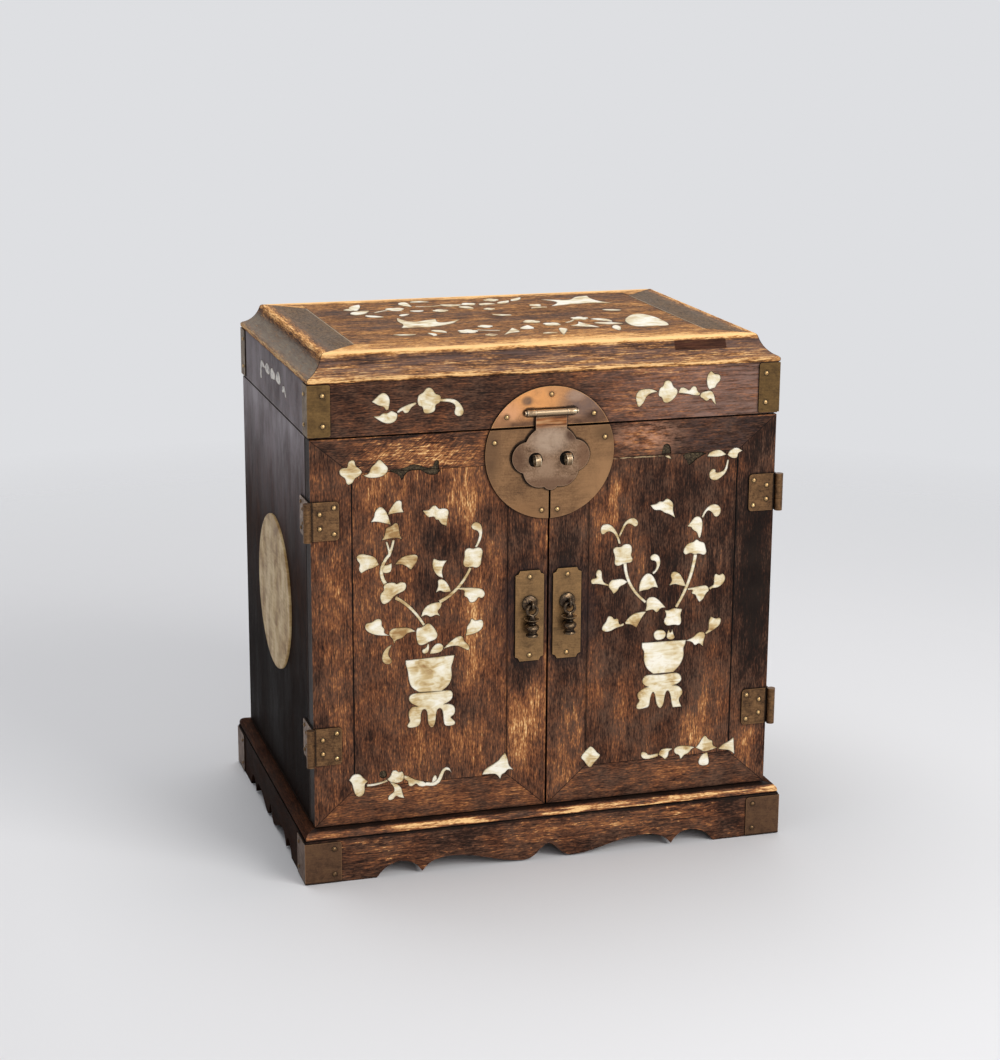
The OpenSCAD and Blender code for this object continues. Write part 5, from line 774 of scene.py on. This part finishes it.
def dress_sheet_brass():
    hinge = brass("hinge_brass", tone(140, 104, 68), tone(102, 74, 48), tone(52, 36, 24), 0.38, size=6)
    for node in ("left_door_hinge_leaves", "right_door_hinge_leaves", "door_hinge_side_leaves",
                 "lid_hinge_leaves", "lid_hinge_body_leaves"):
        give(node, hinge)
    give("lid_corner_straps", brass("strap_brass", tone(118, 90, 52), tone(94, 71, 40), tone(62, 45, 26),
                                    fine_share=0.5))
    give("base_corner_caps", brass("cap_brass", tone(112, 83, 57), tone(92, 66, 47), tone(54, 38, 28), 0.44,
                                   size=8, fine_share=0.5, edge=tone(150, 112, 78)))
    give("lid_lock_plate", brass("upper_lock_brass", tone(206, 154, 102), tone(164, 118, 80),
                                 tone(92, 64, 46), 0.36, UPPER_LOCK_SPOTS, fine_share=0.8))


def hasp_neck(p, colour):
    """Coppery stripes below the barrel, whose upper part is painted pale as a highlight."""
    stripes = p.colours(p.noise((30, 30, 1.5), 3, 0.65, shift=(0, 0, 4)),
                        [(0.36, tone(84, 52, 34)), (0.5, tone(150, 94, 54)), (0.64, tone(190, 150, 108))])
    colour = p.mix(p.band(p.z, NECK_LOW, NECK_HIGH, 1.5), colour, stripes)
    # Painted highlight on the barrel's upper part
    return p.mix(p.ramp(p.z, BARREL_HIGHLIGHT_LOW, BARREL_HIGHLIGHT_FULL), colour, tone(158, 136, 108))


def dress_hasp():
    give("hasp", brass("hasp_brass", tone(162, 132, 106), tone(126, 98, 75), tone(76, 54, 40), 0.34,
                       HASP_SPOTS, after=hasp_neck, fine_share=0.9))


def dress_nails():
    head = brass("nail_brass", tone(232, 200, 146), tone(182, 144, 94), tone(110, 82, 52), 0.24, size=2.2)
    for node in ("left_door_nails", "right_door_nails", "lid_nails"):
        give(node, head)
    give("body_nails", brass("cap_nail_brass", tone(160, 126, 84), tone(104, 78, 52), tone(62, 46, 32), 0.3,
                             size=2.2))


# SHELL
CREAM = [(0.12, tone(156, 118, 68)), (0.34, tone(204, 178, 128)), (0.54, tone(230, 217, 184)),
         (0.8, tone(246, 240, 224))]
BEIGE = [(0.2, tone(140, 106, 62)), (0.42, tone(174, 141, 93)), (0.6, tone(192, 162, 114)),
         (0.8, tone(212, 186, 140))]
# Pieces browner than the rest
SHADED = [((-112, 0, 246), (11, 0, 9)), ((-101, 0, 223), (11, 0, 9)), ((-104, 0, 172.5), (10, 0, 7)),
          ((-115, 0, 158), (7, 0, 9))]


def mother_of_pearl(name, stops, vein, growth=(9, 9, 9), rough=0.3, gloss=0.4, after=None):
    """Cream shell with wavy growth bands, ochre veins and a faint lustre; each piece has its own tone, and
    painted shade along its edges.
    """
    p = Paint(name)
    bend = p.noise(growth, 2, 0.5, warp=1.2)
    own = p.noise((17, 17, 17), 1, 0.5, shift=(5, 1, 8))
    bands = p.noise((16, 16, 4.6), 2, 0.55, shift=(2, 6, 1), warp=1.6)
    value = p.clouded(0.53, (bend, 0.7), (own, 1.3), (bands, 0.8))
    for centre, radii in SHADED:
        value = p.add(value, p.times(p.ramp(p.spot(centre, radii), 0, 0.3), -0.3))
    colour = p.colours(value, stops)
    streaks = p.ramp(p.noise((7, 7, 2.6), 3, 0.6, shift=(7, 7, 7), warp=1.0), 0.58, 0.76)
    colour = p.mix(p.times(streaks, 0.36), colour, vein)
    specks = p.ramp(p.noise((0.9, 0.9, 0.9), 2, 0.6), 0.66, 0.78)
    colour = p.mix(p.times(specks, 0.4), colour, tone(150, 120, 70))
    if after:
        colour = after(p, colour)
    # Painted shade along the pieces' edges
    colour = p.mix(p.times(p.crowded(0.8, inside=True), 0.5), colour, tone(112, 88, 58))
    p.set(base_color=colour, roughness=p.ramp(bend, 0.3, 0.7, rough + 0.12, rough),
          specular_ior_level=gloss)
    p.bump(p.add(p.times(bend, 0.6), p.times(streaks, -0.2)), depth=0.12, strength=0.4)
    return p


def faded_ends(p, colour):
    """The sprigs at the lid's ends are dull and half worn away."""
    end = p.ramp(p.size_of(p.x), DOOR_EDGE - 1.5, DOOR_EDGE - 1.4)
    dull = p.mix(p.ramp(p.noise((9, 5, 5), 3, 0.6), 0.36, 0.52), tone(140, 134, 130), tone(232, 224, 212))
    return p.mix(end, colour, dull)


def dress_shell():
    inlay = mother_of_pearl("inlay_shell", CREAM, vein=tone(186, 150, 92), after=faded_ends)
    for node in ("left_door_inlay", "right_door_inlay", "lid_board_inlays", "lid_top_inlay"):
        give(node, inlay)
    give("side_discs", mother_of_pearl("disc_shell", BEIGE, vein=tone(112, 84, 50), growth=(30, 12, 40),
                                       rough=0.34, gloss=0.1))


# STAGE
BACKDROP = tone(222, 223, 226)
FLOOR_METRES = 8
# Distances from the middle in which the floor fades into the air
FADE_NEAR, FADE_FAR = 620, 1300
# Strength of the air as a light on dull surfaces, and as it is seen or mirrored
AIR_LIGHT, AIR_SEEN = 0.42, 1.0
LIGHT_AIM = (0, 0, 0.18)


def build_floor():
    """A pale floor that keeps the shadow near the cabinet and melts into the pale air further out."""
    bpy.ops.mesh.primitive_plane_add(size=FLOOR_METRES, location=(0, 0, 0))
    floor = bpy.context.object
    floor.name = "studio_floor"
    p = Paint("floor_paint")
    p.set(base_color=tone(226, 226, 228), roughness=0.8, specular_ior_level=0.1)
    distance = p.math("SQRT", p.add(p.times(p.x, p.x), p.times(p.y, p.y)))
    clear = p.tree.nodes.new("ShaderNodeBsdfTransparent")
    blend = p.tree.nodes.new("ShaderNodeMixShader")
    p.put(blend.inputs[0], p.ramp(distance, FADE_NEAR, FADE_FAR))
    p.put(blend.inputs[1], p.shader.outputs[0])
    p.put(blend.inputs[2], clear.outputs[0])
    p.put(p.surface, blend.outputs[0])
    floor.data.materials.append(p.material)


def build_air():
    """Pale air all round, which lights dull surfaces less than it shows."""
    world = bpy.data.worlds.new("studio_air")
    bpy.context.scene.world = world
    world.use_nodes = True
    tree = world.node_tree
    back = tree.nodes["Background"]
    back.inputs["Color"].default_value = BACKDROP
    path = tree.nodes.new("ShaderNodeLightPath")
    seen = path.outputs["Is Camera Ray"]
    for kind in ("Is Glossy Ray", "Is Transmission Ray"):
        either = tree.nodes.new("ShaderNodeMath")
        either.operation = "MAXIMUM"
        tree.links.new(seen, either.inputs[0])
        tree.links.new(path.outputs[kind], either.inputs[1])
        seen = either.outputs[0]
    level = tree.nodes.new("ShaderNodeMapRange")
    tree.links.new(seen, level.inputs["Value"])
    level.inputs["To Min"].default_value = AIR_LIGHT
    level.inputs["To Max"].default_value = AIR_SEEN
    tree.links.new(level.outputs[0], back.inputs["Strength"])


def softbox(name, place, size, watts, colour=(1, 1, 1)):
    """A square lamp of the given width in metres that faces the chest."""
    lamp = bpy.data.lights.new(name, "AREA")
    lamp.shape = "SQUARE"
    lamp.size = size
    lamp.energy = watts
    lamp.color = colour
    held = bpy.data.objects.new(name, lamp)
    held.location = place
    held.rotation_euler = (Vector(LIGHT_AIM) - Vector(place)).to_track_quat("-Z", "Y").to_euler()
    bpy.context.scene.collection.objects.link(held)


def build_lights():
    softbox("key_box", (1.15, -1.75, 1.45), size=1.3, watts=34, colour=(1.0, 0.985, 0.96))
    softbox("front_box", (0.1, -2.4, 0.8), size=1.4, watts=12, colour=(0.98, 0.99, 1.0))
    softbox("top_box", (-0.1, 0.45, 1.9), size=1.5, watts=20)


# CAMERA
# Solved from the chest's corners in the photo
FOCAL_PIXELS = 2286
PHOTO_HEIGHT = 1060
SENSOR = 36
YAW = math.radians(16.740)
PITCH = math.radians(-14.694)
ROLL = math.radians(0.3415)
CAMERA_PLACE = Vector((-469.8, (FRONT + BACK) / 2 - 1564.3, 637.5)) / MM_PER_METRE


def build_camera():
    camera = bpy.data.cameras.new("photo_camera")
    camera.sensor_fit = "AUTO"
    camera.sensor_width = SENSOR
    camera.lens = FOCAL_PIXELS * SENSOR / PHOTO_HEIGHT
    camera.clip_start = 0.05
    held = bpy.data.objects.new("photo_camera", camera)
    bpy.context.scene.collection.objects.link(held)
    forward = Vector((math.sin(YAW) * math.cos(PITCH), math.cos(YAW) * math.cos(PITCH), math.sin(PITCH)))
    level = Vector((math.cos(YAW), -math.sin(YAW), 0))
    upright = level.cross(forward)
    right = level * math.cos(ROLL) + upright * math.sin(ROLL)
    up = upright * math.cos(ROLL) - level * math.sin(ROLL)
    turn = Matrix((right, up, -forward)).transposed().to_4x4()
    held.matrix_world = Matrix.Translation(CAMERA_PLACE) @ turn
    bpy.context.scene.camera = held


dress_doors()
dress_lid()
dress_body()
dress_plinth()
dress_locks_and_pulls()
dress_sheet_brass()
dress_hasp()
dress_nails()
dress_shell()
build_floor()
build_air()
build_lights()
build_camera()
bpy.context.scene.view_settings.view_transform = "Standard"
